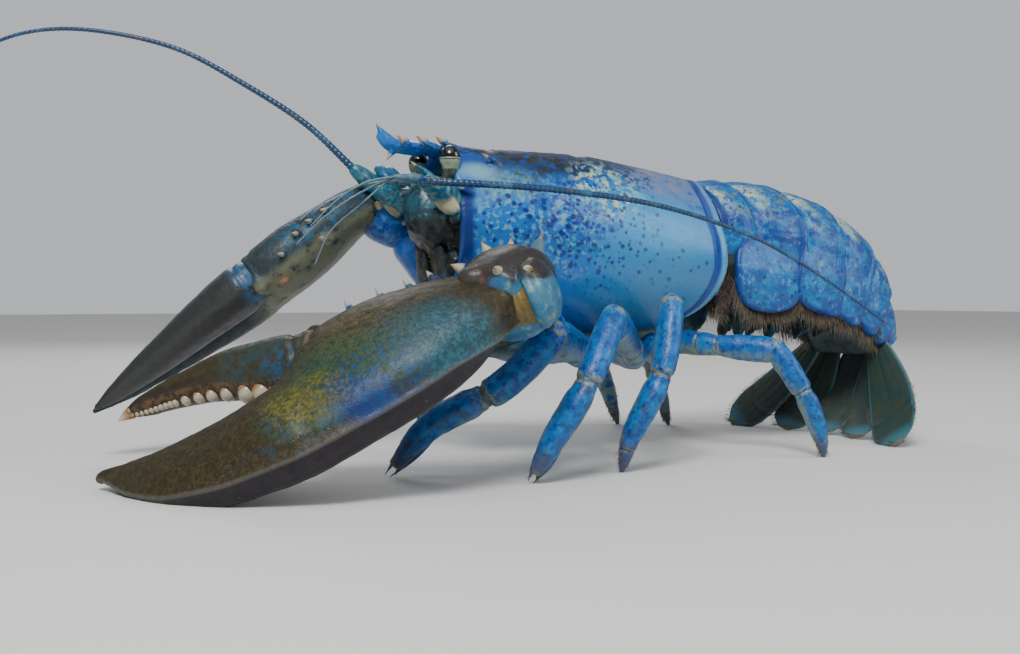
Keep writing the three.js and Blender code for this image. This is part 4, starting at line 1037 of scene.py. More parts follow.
def crusher_relief(points):
    edge = np.clip((7 - in_from_edge) / 3, 0, 1)
    depth = (0.6 * bump(over_ridge, 0, 0.9) - 0.55 * bump(over_ridge, -3.4, 1.9)) * edge
    depth -= 0.35 * bump(over_ridge, 2.6, 1.5) * edge
    depth += 0.10 * noise(points, 2.0, 4) + 0.16 * noise(points, 7, 5)
    depth -= 0.6 * bump(along, 0.44, 0.012) * (across > 4) * (across < 20)
    return depth


palm = carve(palm, crusher_relief)
palm[0][:, 2] = np.maximum(palm[0][:, 2], 0)
# the lower outer face below the ridge, which is painted dark as painted shade
band = mask("rim", 0.2, -0.5), mask("edge", 11, 7)
claw_finish = finish("crusher_olive", "#3e3829", [
    ("#5c5139", 0.5, mottle(2.2, 0.45, 0.62)),
    ("#2c3033", 0.5, mottle(5, 0.5, 0.66)),
    ("#6b634f", 0.35, mottle(1.0, 0.5, 0.64)),
    ("#2f6274", 0.65, patch((-176, -84, 49), (20, 20, 12), 6, 8, 0.5)),
    ("#4f7f8e", 0.65, mottle(1.4, 0.46, 0.6), patch((-171, -86, 50), (15, 18, 11), 6, 8)),
    ("#38564e", 0.7, patch((-200, -70, 40), (19, 16, 11), 6, 8, 0.5)),
    ("#4e6a4c", 0.7, mottle(1.3, 0.46, 0.6), patch((-198, -68, 42), (17, 16, 10), 7, 8)),
    ("#6f6940", 0.6, mottle(1.2, 0.46, 0.6), patch((-188, -66, 51), (22, 18, 9), 6, 8)),
    ("#1c4380", 0.82, patch((-199, -79, 32), (13, 14, 6.5), 5, 8, 0.5)),
    ("#25588c", 0.7, mottle(1.8, 0.48, 0.6), patch((-191, -81, 39), (14, 15, 9), 6, 8)),
    ("#2a6a86", 0.8, mottle(1.4, 0.45, 0.6), patch((-211, -69, 28), (14, 13, 7), 5, 7)),
    ("#4a6044", 0.7, mottle(1.3, 0.45, 0.6), patch((-216, -67, 27), (12, 13, 7), 5, 7)),
    ("#59613c", 0.7, patch((-212, -69, 31), (11, 14, 7), 4, 6, 0.5)),
    ("#938448", 0.75, mottle(1.3, 0.44, 0.6), patch((-214, -68, 29.5), (9, 13, 5), 4, 5, 0.5)),
    ("#8f8044", 0.75, mottle(1.2, 0.46, 0.62), patch((-205, -70, 35.5), (7, 13, 4.5), 4, 5, 0.5)),
    ("#34506a", 0.6, mottle(3, 0.5, 0.62), patch((-218, -72, 14), (14, 12, 5), 5, 7)),
    # painted shade: the lower outer face under the ridge, painted dark purple-brown
    ("#332f36", 0.95, *band),
    ("#232227", 0.6, *band, mottle(4, 0.46, 0.62)),
    # painted highlight along the ridge line of the outer edge
    ("#8c8a86", 0.32, mask("rim", -0.7, -0.1), mask("rim", 1.0, 0.3), mask("edge", 8, 5)),
    ("#1c5cb4", 0.7, mask("inner", 3.5, 1.5), mask("along", 0.5, 0.4), mottle(4, 0.4, 0.55)),
    ("#8a8069", 0.6, mask("up", -5, -8), mottle(6, 0.4, 0.6)),
    ("#c2ab8a", 0.7, mask("inner", 1.6, 0.6), mask("along", 0.56, 0.62)),
    ("#1f211f", 0.45, mottle(1.5, 0.52, 0.66), mask("edge", 2, 5)),
    ("#8f887a", 0.6, dots(2.1, 0.14, 0.3), mottle(6, 0.45, 0.6)),
], 0.46, 1.0, 0.25, pits=0.5, coat=0.02, shine=0.28)


places = [(0.6 + 0.35 * k, 3.2 - 1.9 * k, 2.6 - 1.5 * k) for k in np.linspace(0, 1, 13)]
biters = teeth(crusher_frame, crusher[1], 1, places)
claw_piece("crusher_palm", crusher_frame, crusher, palm, claw_finish, spines, biters, rim=over_ridge)

hinge = ball(crusher_frame.place(0.47, 15, 3), (6.5, 7.5, 8), 14, 20)
thumb = melt([claw_skin(crusher_frame, crusher_thumb, 0.45, 0.965, 80, 80, 2.1, (3, 2), 0.75), hinge], 0.58,
             4)


def thumb_relief(points):
    s, across, up = crusher_frame.read(points)
    share = (across - crusher_thumb[0](s)) / (crusher_thumb[1](s) - crusher_thumb[0](s))
    depth = 0.3 * bump(share, 0.55, 0.1) * (up > 0) - 0.35 * bump(share, 0.32, 0.09) * (up > 0)
    depth -= 0.7 * bump(s, 0.492, 0.008)
    return depth + 0.12 * noise(points, 2.2, 7) + 0.1 * noise(points, 6, 8)


thumb = carve(thumb, thumb_relief)
places = [(0.572, 2.4, 2.2), (0.602, 3.7, 3.8), (0.642, 3.4, 3.6), (0.695, 2.6, 2.9), (0.735, 2.3, 2.6),
          (0.77, 2.2, 2.2),
          (0.806, 1.9, 2.1)]
places += [(s, r, r) for s, r in zip(np.linspace(0.834, 0.952, 10), np.linspace(1.35, 0.75, 10))]
biters = teeth(crusher_frame, crusher_thumb[0], -1, places)
tip_root = crusher_frame.place(0.955, 31, 0)
(points, faces, _), tips = spikes([(tip_root, crusher_frame.place(0.992, 29.4, 0), 2.4)], 12)
horn = (points, faces, 2), tips  # the tip looks like a tooth
thumb_finish = finish("crusher_finger_olive", "#443f31", [
    ("#57523d", 0.5, mottle(2.4, 0.45, 0.6)),
    ("#37606c", 0.4, mottle(4, 0.42, 0.56), patch((-212, -28, 42), (18, 18, 9), 6, 8)),
    ("#2b628e", 0.75, mottle(2.4, 0.44, 0.58), patch((-205, -40, 40), (10, 11, 7), 5, 6)),
    ("#38302d", 0.6, mask("edge", 4.6, 2.6), mask("along", 0.66, 0.8)),
    ("#94765c", 0.5, mask("edge", 1.6, 0.8), mottle(2.0, 0.42, 0.56)),
    ("#2c3138", 0.8, mask("along", 0.93, 0.96)),
], 0.44, 0.9, 0.25, pits=0.5, coat=0.04, shine=0.3)
claw_piece("crusher_finger", crusher_frame, crusher_thumb, thumb, thumb_finish, horn, biters)

# %% [markdown]
# ### The cutter
# It points away from the camera and down. Its teeth are a fine saw, so they are smaller and closer.

# %% Cutter
bases, spines = claw_spines(
    cutter_frame, cutter[1], [(0.12, 2.4), (0.17, 2), (0.22, 1), (0.285, -2), (0.17, -6)], 4.2)
knuckle = ball(cutter_frame.place(0.395, 17.5, -3.5), (4.0, 4.0, 4.6), 14, 20)
hinge_knob = ball((-182.2, 27.2, 67.9), (2.3, 2.2, 2.3), 12, 18)
palm = melt([claw_skin(cutter_frame, cutter, 0, 1, caps=(3, 2.4)), knuckle, hinge_knob] + bases, 0.6, 5)


def cutter_relief(points):
    s, across, up = cutter_frame.read(points)
    rim = across - cutter[0](s)
    depth = 0.4 * bump(rim, 6.0, 0.9) * (up > -2) - 0.3 * bump(rim, 3.2, 1.4)
    depth -= 0.5 * bump(s, 0.385, 0.01) * (across > 3)
    return depth + 0.10 * noise(points, 2.0, 9) + 0.12 * noise(points, 6, 10)


palm = carve(palm, cutter_relief)
cut_finish = finish("cutter_olive", "#3c474c", [
    ("#4c5d66", 0.7, mottle(3.2, 0.42, 0.6)),
    ("#33393a", 0.7, mottle(5, 0.45, 0.6), mask("up", -2, 3)),
    ("#3f7fa2", 0.6, mottle(3.6, 0.5, 0.6), mask("along", 0.36, 0.2)),
    ("#a8aa90", 0.8, mask("up", -1.5, -6), mask("along", 0.52, 0.4), mottle(5, 0.3, 0.5)),
    ("#b8957c", 0.75, patch((-182.4, 26.4, 67.9), (2.4, 4, 2.4), 0.8, 2, 0.4)),
    ("#24343c", 0.7, mask("along", 0.93, 0.99)),
    ("#9c9486", 0.6, dots(2.2, 0.16, 0.3), mottle(6, 0.45, 0.6)),
], 0.44, 1.0, 0.35, pits=0.55, coat=0.03, shine=0.28)
places = [(s, 1.9 - 1.0 * k, 1.7 - 0.9 * k) for s, k in zip(np.linspace(0.55, 0.95, 22),
                                                            np.linspace(0, 1, 22))]
biters = teeth(cutter_frame, cutter[1], 1, places)
claw_piece("cutter_palm", cutter_frame, cutter, palm, cut_finish, spines, biters)

hinge = ball(cutter_frame.place(0.405, 11, 0), (6, 7, 8), 14, 20)
thumb = melt([claw_skin(cutter_frame, cutter_thumb, 0.39, 0.985, 80, 80, 2.1, (3, 2)), hinge], 0.55, 4)


def cutter_thumb_relief(points):
    s, across, up = cutter_frame.read(points)
    share = (across - cutter_thumb[0](s)) / (cutter_thumb[1](s) - cutter_thumb[0](s))
    depth = -0.4 * bump(share, 0.32, 0.08) * (np.abs(up) > 2) + 0.25 * bump(share, 0.55, 0.12)
    depth -= 0.55 * bump(s, 0.435, 0.008)
    return depth + 0.1 * noise(points, 2.2, 11) + 0.08 * noise(points, 6, 12)


thumb = carve(thumb, cutter_thumb_relief)
finger_finish = finish("cutter_finger_grey", "#484b50", [
    ("#5b5a5e", 0.7, mottle(3, 0.42, 0.6)),
    ("#39423c", 0.7, mask("edge", 7, 3), mottle(5, 0.4, 0.6)),
    # painted highlight along the middle ridge of the finger
    ("#77747c", 0.55, mask("edge", 5, 9), mask("inner", 3, 6), mottle(3, 0.36, 0.6)),
    ("#2c312b", 0.75, mask("inner", 5, 2)),
    ("#2f78a8", 0.8, mask("along", 0.47, 0.42), mottle(3, 0.4, 0.55)),
    ("#b9a890", 0.7, mask("along", 0.42, 0.4), mottle(2, 0.5, 0.6)),
    ("#a68a68", 0.6, mask("edge", 1.2, 0.5)),
    ("#2a2f33", 0.8, mask("along", 0.93, 0.98)),
], 0.42, 0.9, 0.3, pits=0.5, coat=0.1)
places = [(s, 1.7 - 0.9 * k, 1.5 - 0.8 * k) for s, k in zip(np.linspace(0.5, 0.95, 24),
                                                            np.linspace(0, 1, 24))]
biters = teeth(cutter_frame, cutter_thumb[0], -1, places)
claw_piece("cutter_finger", cutter_frame, cutter_thumb, thumb, finger_finish, biters)

# %% [markdown]
# ## Arms
# Each claw hangs on an arm of three pieces. The last one, the carpus, is a thick collar with ivory-tipped
# spines. Yellow joint skin shows between it and the palm.

# %% Arms
arm_shapes = {
    "left": dict(
        root=(-92, -15, 44), ischium=(-105, -31, 50), elbow=(-130, -60.5, 65),
        carpus=[(-129, -62, 65), (-138, -68, 65), (-148, -73, 61.5), (-153, -75, 58)], bulk=1.0, flat=0.86,
        spines=[(-148.4, -64.4, 78), (-141, -68.8, 79), (-154.6, -83.2, 70.2), (-145.8, -88.8, 70.4),
                (-145.2, -91.8, 61.2), (-157.2, -61.1, 71.5)],
        crest=(-131.3, -72, 82), palm=crusher_frame,
    ),
    "right": dict(
        root=(-92, 15, 44), ischium=(-104, 27, 50), elbow=(-130, 30, 86),
        carpus=[(-129, 32, 84), (-135, 32, 91), (-142, 31, 98), (-147, 29, 102.5)], bulk=0.74, flat=1.0,
        spines=[(-148.5, 19, 97), (-141, 19.5, 99), (-136, 21, 90)],
        crest=(-127.5, 22, 96), palm=cutter_frame,
    ),
}
arm_finish = finish("arm_blue", "#2f7fd0", [
    ("#1657c0", 0.7, mottle(6, 0.45, 0.6)),
    ("#8cc0d8", 0.6, mottle(4, 0.56, 0.66)),
    ("#10389a", 0.7, dots(2.6, 0.34, 0.5)),
    ("#8aa9ac", 0.85, patch((-131, -70, 77), (7, 8, 10), 1.5, 4, 0.3)),
    ("#2a80e0", 0.45, patch((-126, 28, 80), (16, 18, 14), 5, 8, 0.5)),
    ("#143cb0", 0.7, patch((-135, 21, 94), (9, 9, 7), 3, 5, 0.4)),
], 0.32, 1.0, 0.3, coat=0.25)

wrist_finish = finish("carpus_teal", "#5d8ea2", [
    ("#3f78a8", 0.8, mottle(4, 0.42, 0.58)),
    ("#9ab9b4", 0.7, mottle(3, 0.55, 0.64)),
    ("#15509e", 0.8, patch((-152, -77, 66), (7, 6, 4), 2, 4, 0.4)),
    ("#2e261e", 0.93, mask("top", 0.12, 0.34), mask("near", 0.4, 0.6)),
    ("#5a4a38", 0.5, mask("top", 0.2, 0.4), mask("near", 0.4, 0.6), mottle(1.6, 0.5, 0.64)),
    ("#463d33", 0.7, mask("top", 0.4, 0.6), mask("near", 0.4, 0.6), mottle(4, 0.45, 0.6)),
    ("#2678d4", 0.85, mask("near", 0.6, 0.4)),
    ("#1240a4", 0.85, mask("near", 0.6, 0.4), mottle(4, 0.45, 0.58)),
    ("#7fc0e8", 0.7, mask("near", 0.6, 0.4), mottle(2.6, 0.54, 0.64)),
    ("#4d4540", 0.92, patch((-157, -73, 67.5), (7, 8, 5), 1.5, 4, 0.3)),
    ("#b9876c", 0.7, patch((-155, -76, 67), (2.2, 3, 2), 0.8, 2, 0.4)),
    ("#3b7484", 0.8, patch((-143, 26, 109), (10, 10, 5), 3, 4, 0.5)),
], 0.4, 1.1, 0.3, coat=0.05, shine=0.4)


for word, arm in arm_shapes.items():
    near_side = word == "left"
    root, ischium, elbow, crest = [np.array(arm[key], float) for key in ("root", "ischium", "elbow", "crest")]
    near = Limb([root, root * 0.45 + ischium * 0.55, ischium], even([[0, 8], [0.5, 8.6], [1, 8]]))
    sizes = [profile(k) for k in (
        [[0, 7], [0.4, 7.5], [0.9, 8.8], [1, 7.5]], [[0, 6], [0.4, 6], [0.9, 7], [1, 7]],
        [[0, 7], [0.4, 8], [0.9, 10.5], [1, 9]], [[0, 7], [0.4, 8], [0.9, 9.5], [1, 8]])]
    merus = Limb([ischium, (ischium + elbow) / 2, elbow], lambda t: [f(t) for f in sizes], up=(-0.3, 0, 1),
                 power=2.2)
    foot = elbow + (crest - elbow) * 0.12
    flange = spike(foot, crest, 6.0 if near_side else 5.0, 16)
    upper = melt([near.skin(20, 40, caps=(2, 2)), merus.skin(46, 60, caps=(2, 3)), flange], 0.6, 5)
    upper = carve(upper, lambda p: 0.12 * noise(p, 2.4, 13) + 0.15 * noise(p, 6, 14))
    spines = spikes([(foot * 0.3 + crest * 0.7, crest + (crest - elbow) * 0.03, 1.3)], 12)
    make(f"{word}_upper_arm", [upper, spines[0]], [arm_finish, spine_finish],
         [f"arm_{word}_ischium", f"arm_{word}_merus"], with_tips(upper, spines))

    bulk = profile([[0, 8], [0.15, 12], [0.5, 16.5], [0.85, 15], [1, 9]])
    flat = arm["flat"]
    wrist = Limb(arm["carpus"], lambda t: [arm["bulk"] * bulk(t) * k for k in (0.9, 0.9, flat, 1)], power=2.3)
    middle = wrist.path.at(0.5)
    palm_frame, reach = arm["palm"], 10.6 * arm["bulk"]
    bases, tips = [], []
    for spine_tip in arm["spines"]:
        spine_tip = np.array(spine_tip, float)
        way = unit(spine_tip - middle)
        tip = spine_tip + way * 1.2
        bases.append(spike(tip - way * 9.5, tip, 3.3, 14))
        tips.append((tip - way * 4.2, tip + way * 0.3, 2.1))
    if near_side:
        bases.append(ball((-155, -72.5, 67.6), (6.6, 5.6, 4.4), 14, 20))
    turns = circle(60)
    axes = np.array([palm_frame.axis, palm_frame.side, palm_frame.back]).T
    cup = (5.5, reach + 1.6, 0.86 * (reach + 1.6)) if near_side else (3, reach - 1, reach - 2)
    bases.append(ball(palm_frame.place(-0.08, 1, 0), cup, 20, 40, lean=axes))
    lip = []
    for k in circle(12):
        wide = reach + 0.6 + 1.7 * math.cos(k)
        place = (-0.062 + 0.015 * math.sin(k), 0.5 + wide * np.cos(turns), 0.86 * wide * np.sin(turns))
        lip.append(palm_frame.place(*place))
    bases.append(closed_ring(np.array(lip)))
    collar = melt([wrist.skin(50, 90, caps=(3, 2.5))] + bases, 0.58, 5)
    collar = carve(collar, lambda p: 0.18 * noise(p, 5, 15) + 0.06 * noise(p, 2, 16))
    top = (collar[0] - middle)[:, 2] / 14 + 0.22 * noise(collar[0], 4, 31)
    start, far = palm_frame.place(-0.068, 0.5, 0), palm_frame.place(0.0, -0.5, 0)
    sleeve = Limb([start, (start + far) / 2, far],
                  lambda t: [reach * (0.98 - 0.34 * t)] * 2 + [reach * (0.84 - 0.2 * t)] * 2,
                  up=palm_frame.back, power=2.0)
    sleeve = carve(sleeve.skin(36, 60, caps=(2, 2)),
                   lambda p: 0.08 * np.sin(palm_frame.read(p)[0] * 460) + 0.25 * noise(p, 3, 17))
    spines = spikes(tips, 12)
    masks = with_tips(collar, spines, top=top, near=np.full(len(collar[0]), float(near_side)))
    make(f"{word}_carpus", [collar, spines[0], sleeve + (2,)], [wrist_finish, spine_finish, skin_finish],
         [f"arm_{word}_carpus"], masks)

# %% [markdown]
# ## Head
# The eyes sit on short stalks under the beak: a black, glossy dome on a pale cup. Below them lie the two thick
# roots of the antennae with their pointed scales, the small antennules, and the mouth behind two jaw legs.

# %% Eyes
eye_finish = finish("eye_black", "#06070d", [
    ("#20242e", 0.4, dots(0.5, 0.3, 0.4)),
], 0.08, 0.35, 0.05, coat=0.8, spread=0.03)
cup_finish = finish("eye_cup", "#98ac94", [
    ("#bccdb2", 0.7, mottle(1.4, 0.4, 0.6)),
    ("#2c3330", 0.9, mask("low", 0.5, 0.8)),
], 0.3, 0.6, 0.2, coat=0.4)
for word, side in SIDES:
    stalk = Limb([(-137, side * 5.5, 102.6), (-135, side * 9.5, 103.2), (-134, side * 12.4, 106),
                  (-134, side * 13, 111.8)],
                 even([[0, 2.2], [0.4, 2.2], [0.6, 2.5], [0.78, 3.0], [0.92, 3.7], [1, 3.6]]),
                 up=(-1, 0, 0)).skin(36, 32, caps=(1, 0.3))
    dome = ball((-134, side * 13, 112.2), (3.8, 3.8, 4.1), 18, 30)
    ring = Limb([(-134, side * 13, 111.1), (-134, side * 13, 111.9)], even([[0, 3.6], [0.5, 3.9], [1, 3.7]]),
                up=(-1, 0, 0)).skin(4, 36)
    low = np.concatenate([np.clip((108.8 - stalk[0][:, 2]) / 1.6, 0, 1), np.zeros(len(ring[0]))])
    make(f"{word}_eye", [stalk, ring, dome + (1,)], [cup_finish, eye_finish], [f"eye_{word}"],
         {"low": low})

# %% [markdown]
# ### Antennae
# A long feeler is a chain of hundreds of short rings. The rings are made as waves of the radius, two points to
# a wave would make it jagged, so each wave gets five. One piece replaces both halves of each feeler.

# %% Antennae
feeler_lines = {
    "left": [(-152, -27, 101.2), (-151.5, -30, 101.2), (-147, -34.5, 100.7), (-128, -41, 100),
             (-107, -44, 99),
             (-66, -48, 94.7), (-19, -48, 83.4), (18, -46.5, 68), (52, -44, 51.2)],
    "right": [(-155, 21.5, 108.4), (-157, 22, 110), (-172, 30, 126), (-193, 40, 141), (-215, 50, 153.5),
              (-240, 60, 159.2), (-258, 70, 159.8), (-273, 78, 155.6), (-296, 92, 140), (-312, 103, 121)],
}
feeler_finish = finish("feeler_blue", "#27527a", [
    ("#16304a", 0.8, mask("ring", 0.45, 0.2)),
    ("#5f8db0", 0.6, mottle(9, 0.5, 0.66)),
    ("#8a6a50", 0.4, mottle(14, 0.56, 0.66)),
], 0.36, 0.7, 0.2, coat=0.1)
lash = profile([[0, 1.5], [0.08, 1.3], [0.5, 0.85], [1, 0.35]])
for word, line in feeler_lines.items():
    waves = int(Path(line).length / 1.9)
    limb = Limb(line, lambda t: [lash(t) * (1 + 0.07 * math.cos(2 * math.pi * waves * t))] * 4)
    form = limb.skin(waves * 5, 10, caps=(1, 0.4))
    places = np.repeat(np.concatenate([np.zeros(5), np.linspace(0, 1, waves * 5 + 1), np.ones(5)]), 10)
    ring = 0.5 + 0.5 * np.cos(2 * math.pi * waves * places)
    make(f"{word}_feeler", [form], [feeler_finish], [f"antenna_{word}_1", f"antenna_{word}_2"],
         {"ring": ring})

root_finish = finish("feeler_root_teal", "#2f7796", [
    ("#5fa3ac", 0.8, mottle(2.6, 0.44, 0.58)),
    ("#22425a", 0.75, mottle(3.6, 0.5, 0.62)),
    ("#a8b08c", 0.7, mottle(2.0, 0.58, 0.66)),
    ("#d3c9ad", 0.92, patch((-139.2, -21.2, 94.2), (5.4, 3.6, 3.4), 0.8, 3, 0.2)),
    ("#d3c9ad", 0.92, patch((-141.2, 19.7, 95.7), (5.4, 3.6, 3.4), 0.8, 3, 0.2)),
], 0.34, 0.9, 0.3, coat=0.2)
root_lines = {
    "left": [(-129, -11, 94.5), (-133, -13, 96), (-140, -19, 98), (-147, -25, 100.4), (-152, -27, 101.2)],
    "right": [(-129, 11, 94.5), (-133, 13, 96), (-142, 17.5, 99.5), (-150, 20, 104.5), (-157, 22, 110)],
}
for word, side in SIDES:
    line = np.array(root_lines[word], float)
    start = line[2]
    stalk = Limb(line, even([[0, 4.6], [0.2, 5], [0.34, 5.2], [0.4, 4.4], [0.46, 4.7], [0.62, 4.5],
                             [0.68, 3.5], [0.74, 3.6], [0.92, 2.9], [1, 2.1]]))
    scale_line = [start + (2, 0, -1), start + (-3, side * 2, 3), start + (-9, side * 4, 7),
                  start + (-15, side * 5.5, 10)]
    wide = profile([[0, 2.0], [0.35, 1.9], [0.7, 1.3], [0.9, 0.6], [1, 0.25]])
    scale = Limb(scale_line, lambda t: [wide(t)] * 2 + [1.0, 1.0], up=(-0.3, side * -0.8, 0.5))
    scale = scale.skin(30, 26, caps=(1, 0.3))
    plate_way = np.array([-8.5, -side * 2, 6.2]) / 10.7
    plate_out = np.cross(plate_way, (0.5, 0, 0.8))
    plate_out *= side * np.sign(plate_out[1]) / np.linalg.norm(plate_out)
    axes = np.array([plate_way, plate_out, np.cross(plate_way, plate_out)]).T
    bases, tips = [ball(start + (0.8, side * 2.2, -3.6), (5.6, 2.2, 3.3), 14, 20, lean=axes)], []
    for k, lift, length in ((0.3, 1.0, 3.2), (0.5, 0.8, 3.4), (0.62, -0.4, 2.8), (0.75, 0.6, 2.4)):
        at, across, over, along = stalk.frame(k)
        way = unit(across * side * 0.7 + over * lift * 0.5 - np.array([0.9, 0, 0]))
        foot = at + (across * side * 0.6 + over * lift * 0.6) * 3.4
        bases.append(spike(foot - way * 2, foot + way * length, 1.4))
        tips.append((foot + way * length * 0.4, foot + way * length * 1.08, 0.65))
    tips.append((scale_line[3] + (1.6, 0, -1), scale_line[3] + (-0.6, side * 0.3, 0.5), 0.6))
    base = melt([stalk.skin(50, 40, caps=(2, 1)), scale] + bases, 0.4, 3)
    base = carve(base, lambda p: 0.18 * noise(p, 1.8, 18) + 0.12 * noise(p, 4, 19))
    spines = spikes(tips, 10)
    make(f"{word}_feeler_root", [base, spines[0]], [root_finish, spine_finish], [f"antenna_{word}_root"],
         with_tips(base, spines))

antennule_lines = {
    "left": [[(-151, -4.5, 105), (-165, -3, 98.5), (-178, -1.5, 89.5), (-188, -1, 80)],
             [(-151, -4.5, 105), (-164, -6, 102), (-176, -8, 95), (-186, -10, 86)]],
    "right": [[(-151, 4, 104), (-163, 0, 95), (-176, -2.5, 84.5), (-181.5, -2, 73)],
              [(-151, 4, 104), (-163, 5.5, 101.5), (-174, 7.5, 96), (-183, 9, 89)]],
}
small_finish = finish("antennule_pale", "#7d97a4", [
    ("#4f86a8", 0.7, mottle(3, 0.45, 0.6)),
    ("#a9b8b4", 0.5, mask("ring", 0.5, 0.9)),
], 0.4, 0.6, 0.15)
for word, side in SIDES:
    lines = antennule_lines[word]
    stalk = Limb([(-137, side * 5, 103), (-144, side * 4.8, 104.6), np.array(lines[0][0]) + (-0.6, 0, -0.2)],
                 even([[0, 2.4], [0.25, 2.4], [0.32, 1.8], [0.4, 2.0], [0.62, 1.7], [0.68, 1.3], [0.75, 1.4],
                       [1, 0.8]])).skin(40, 20, caps=(1, 1))
    forms, rings = [stalk], [np.zeros(len(stalk[0]))]
    for line in lines:
        waves = int(Path(line).length / 1.2)
        form = Limb(line, lambda t: [(0.5 - 0.3 * t) * (1 + 0.06 * math.cos(2 * math.pi * waves * t))] * 4)
        form = form.skin(waves * 4, 8)
        forms.append(form)
        places = np.repeat(np.linspace(0, 1, waves * 4 + 1), 8)
        rings.append(np.concatenate([0.5 + 0.5 * np.cos(2 * math.pi * waves * places), [0, 0]]))
    make(f"{word}_antennule", forms, [small_finish], [f"antennule_{word}"],
         {"ring": np.concatenate(rings)})

# %% [markdown]
# ### Face and jaws
# The face is a block behind the feelers, with a pale plate at the root of each antenna; its lower part, around
# the mouth, is painted near black as painted shade. Two jaw legs fold up in front of the mouth. Their dark ground
# is painted shade of the mouth recess, and bristles cover their inner edges.

# %% Face and jaws
face_finish = finish("face_teal", "#3c6c7c", [
    ("#22363e", 0.8, mottle(4, 0.42, 0.56)),
    ("#5f8f8a", 0.7, mottle(2.2, 0.54, 0.64)),
    # painted shade: the lower part of the face block, around the mouth, is painted near black
    ("#161d1f", 0.92, mask("low", 0.3, 0.7)),
], 0.38, 1.0, 0.35, coat=0.15)
sizes = [profile(k) for k in ([[0, 17], [0.5, 13], [1, 6]], [[0, 17], [0.5, 14], [1, 8]],
                              [[0, 22], [0.5, 14], [1, 5]])]
block = Limb([(-126, 0, 93), (-133, 0, 94), (-138, 0, 97), (-141, 0, 100)],
             lambda t: [float(sizes[0](t))] * 2 + [float(sizes[1](t)), float(sizes[2](t))], power=2.3)
parts = [block.skin(30, 70, caps=(0, 2))]
for side in (-1, 1):
    parts += [ball((-132.6, side * 16.6, 90.5), (3.8, 2.4, 3.6), 12, 18),
              ball((-131, side * 9, 74), (4.5, 6, 6), 12, 18),
              spike((-133, side * 11, 92), (-141.5, side * 14, 93), 2.6)]
face = carve(melt(parts, 0.5, 4), lambda p: 0.4 * noise(p, 3.0, 20) + 0.2 * noise(p, 1.5, 21))
# the mask low marks the lower face, where the painted shade of the mouth recess goes
make("face_block", [face], [face_finish], ["face"],
     {"low": np.clip((92 - face[0][:, 2]) / 5, 0, 1)})

# the dark ground is painted shade of the mouth recess; the teal and brown mottles are the jaw legs' own colour
jaw_finish = finish("jaw_dark", "#2a3436", [
    ("#46606a", 0.7, mottle(3, 0.5, 0.62)),
    ("#6a5a48", 0.6, mottle(2, 0.56, 0.66)),
], 0.36, 0.9, 0.35, coat=0.15)
jaw_lines = {}
for word, side in SIDES:
    jaw_lines[word] = [(-98, side * 7, 49), (-113, side * 8.5, 48), (-126, side * 8.5, 55),
                       (-132, side * 8, 67), (-136, side * 7, 79)]
    deep = profile([[0, 5], [0.25, 5], [0.42, 5.2], [0.46, 4.2], [0.52, 4.8], [0.66, 4.4], [0.7, 3.4],
                    [0.76, 3.8], [0.88, 3], [1, 1.4]])
    jaw = Limb(jaw_lines[word], lambda t: [4.4 - 1.6 * max(0, t - 0.6)] * 2 + [deep(t)] * 2, up=(-1, 0, 0.3),
               power=2.3)
    inner = Limb(np.array(jaw_lines[word]) * (1, 0.45, 1) + (2.5, side * 6.5, 4),
                 lambda t: [2.4 - 1.2 * t] * 4, up=(-1, 0, 0.3))
    form = carve(join([jaw.skin(60, 30, caps=(3, 1.5)), inner.skin(40, 20, caps=(1, 1))]),
                 lambda p: 0.25 * noise(p, 2.6, 22))
    make(f"{word}_jaw_leg", [form], [jaw_finish], [f"maxilliped_{word}"])

sizes = profile([[0, 7], [0.2, 12], [0.6, 16], [1, 13]])
keel = Limb([(-122, 0, 47), (-90, 0, 44), (-55, 0, 44), (-24, 0, 49)], lambda t: [sizes(t)] * 2 + [9, 6.5],
            power=2.6)


def keel_relief(points):
    x, y, z = points.T
    depth = -0.9 * sum(bump(x, place, 1.3) for place in (-99, -83, -68, -53, -38))
    depth = depth - 1.0 * bump(y, 0, 1.2) * (z < 45)
    return depth + 0.2 * noise(points, 3, 23)


make("sternum_plates", [carve(keel.skin(80, 70, caps=(2, 2)), keel_relief)], [under_finish], ["sternum"])

# %% [markdown]
# ## Walking legs
# Four legs on each side. A leg has six segments, so it is made of six short limbs with rounded ends that meet in
# knuckles, with a little joint skin between them. The front two pairs end in small pincers, the others in a
# horny point.

# %% Walking legs
leg_shapes = {
    "leg2_left": ((-76, -14, 41), (-84, -32, 38), (-116, -55, 49), (-131, -47, 32), (-153, -33, 17),
                  (-165, -25, 0), 1.1, True),
    "leg3_left": ((-61, -14, 41), (-66, -32, 40), (-98, -64, 54.5), (-114, -71, 32), (-125, -66, 12),
                  (-130, -62, 0), 1.05, True),
    "leg4_left": ((-46, -14, 42), (-50, -30, 39), (-68, -57, 58.5), (-76, -62, 35), (-87, -58, 11),
                  (-88, -55, 0), 1.0, False),
    "leg5_left": ((-31, -12, 44), (-28, -27, 43), (-12, -50, 41), (-5, -58, 24), (2, -60, 6), (3, -60, 0),
                  0.9, False),
    "leg2_right": ((-76, 14, 41), (-84, 33, 41), (-112, 66, 54), (-136, 84, 33), (-152, 92, 13),
                   (-158, 94, 0), 1.15, True),
    "leg3_right": ((-61, 14, 41), (-64, 32, 40), (-78, 66, 56), (-88, 82, 33), (-94, 88, 12), (-97, 90, 0),
                   1.05, True),
    "leg4_right": ((-46, 14, 42), (-45, 30, 39), (-32, 60, 55), (-16, 72, 38), (-2, 79, 17), (6, 82, 0), 1.0,
                   False),
    "leg5_right": ((-31, 12, 44), (-28, 27, 43), (-6, 52, 44), (12, 62, 27), (22, 66, 8), (25, 67, 0), 0.9,
                   False),
}
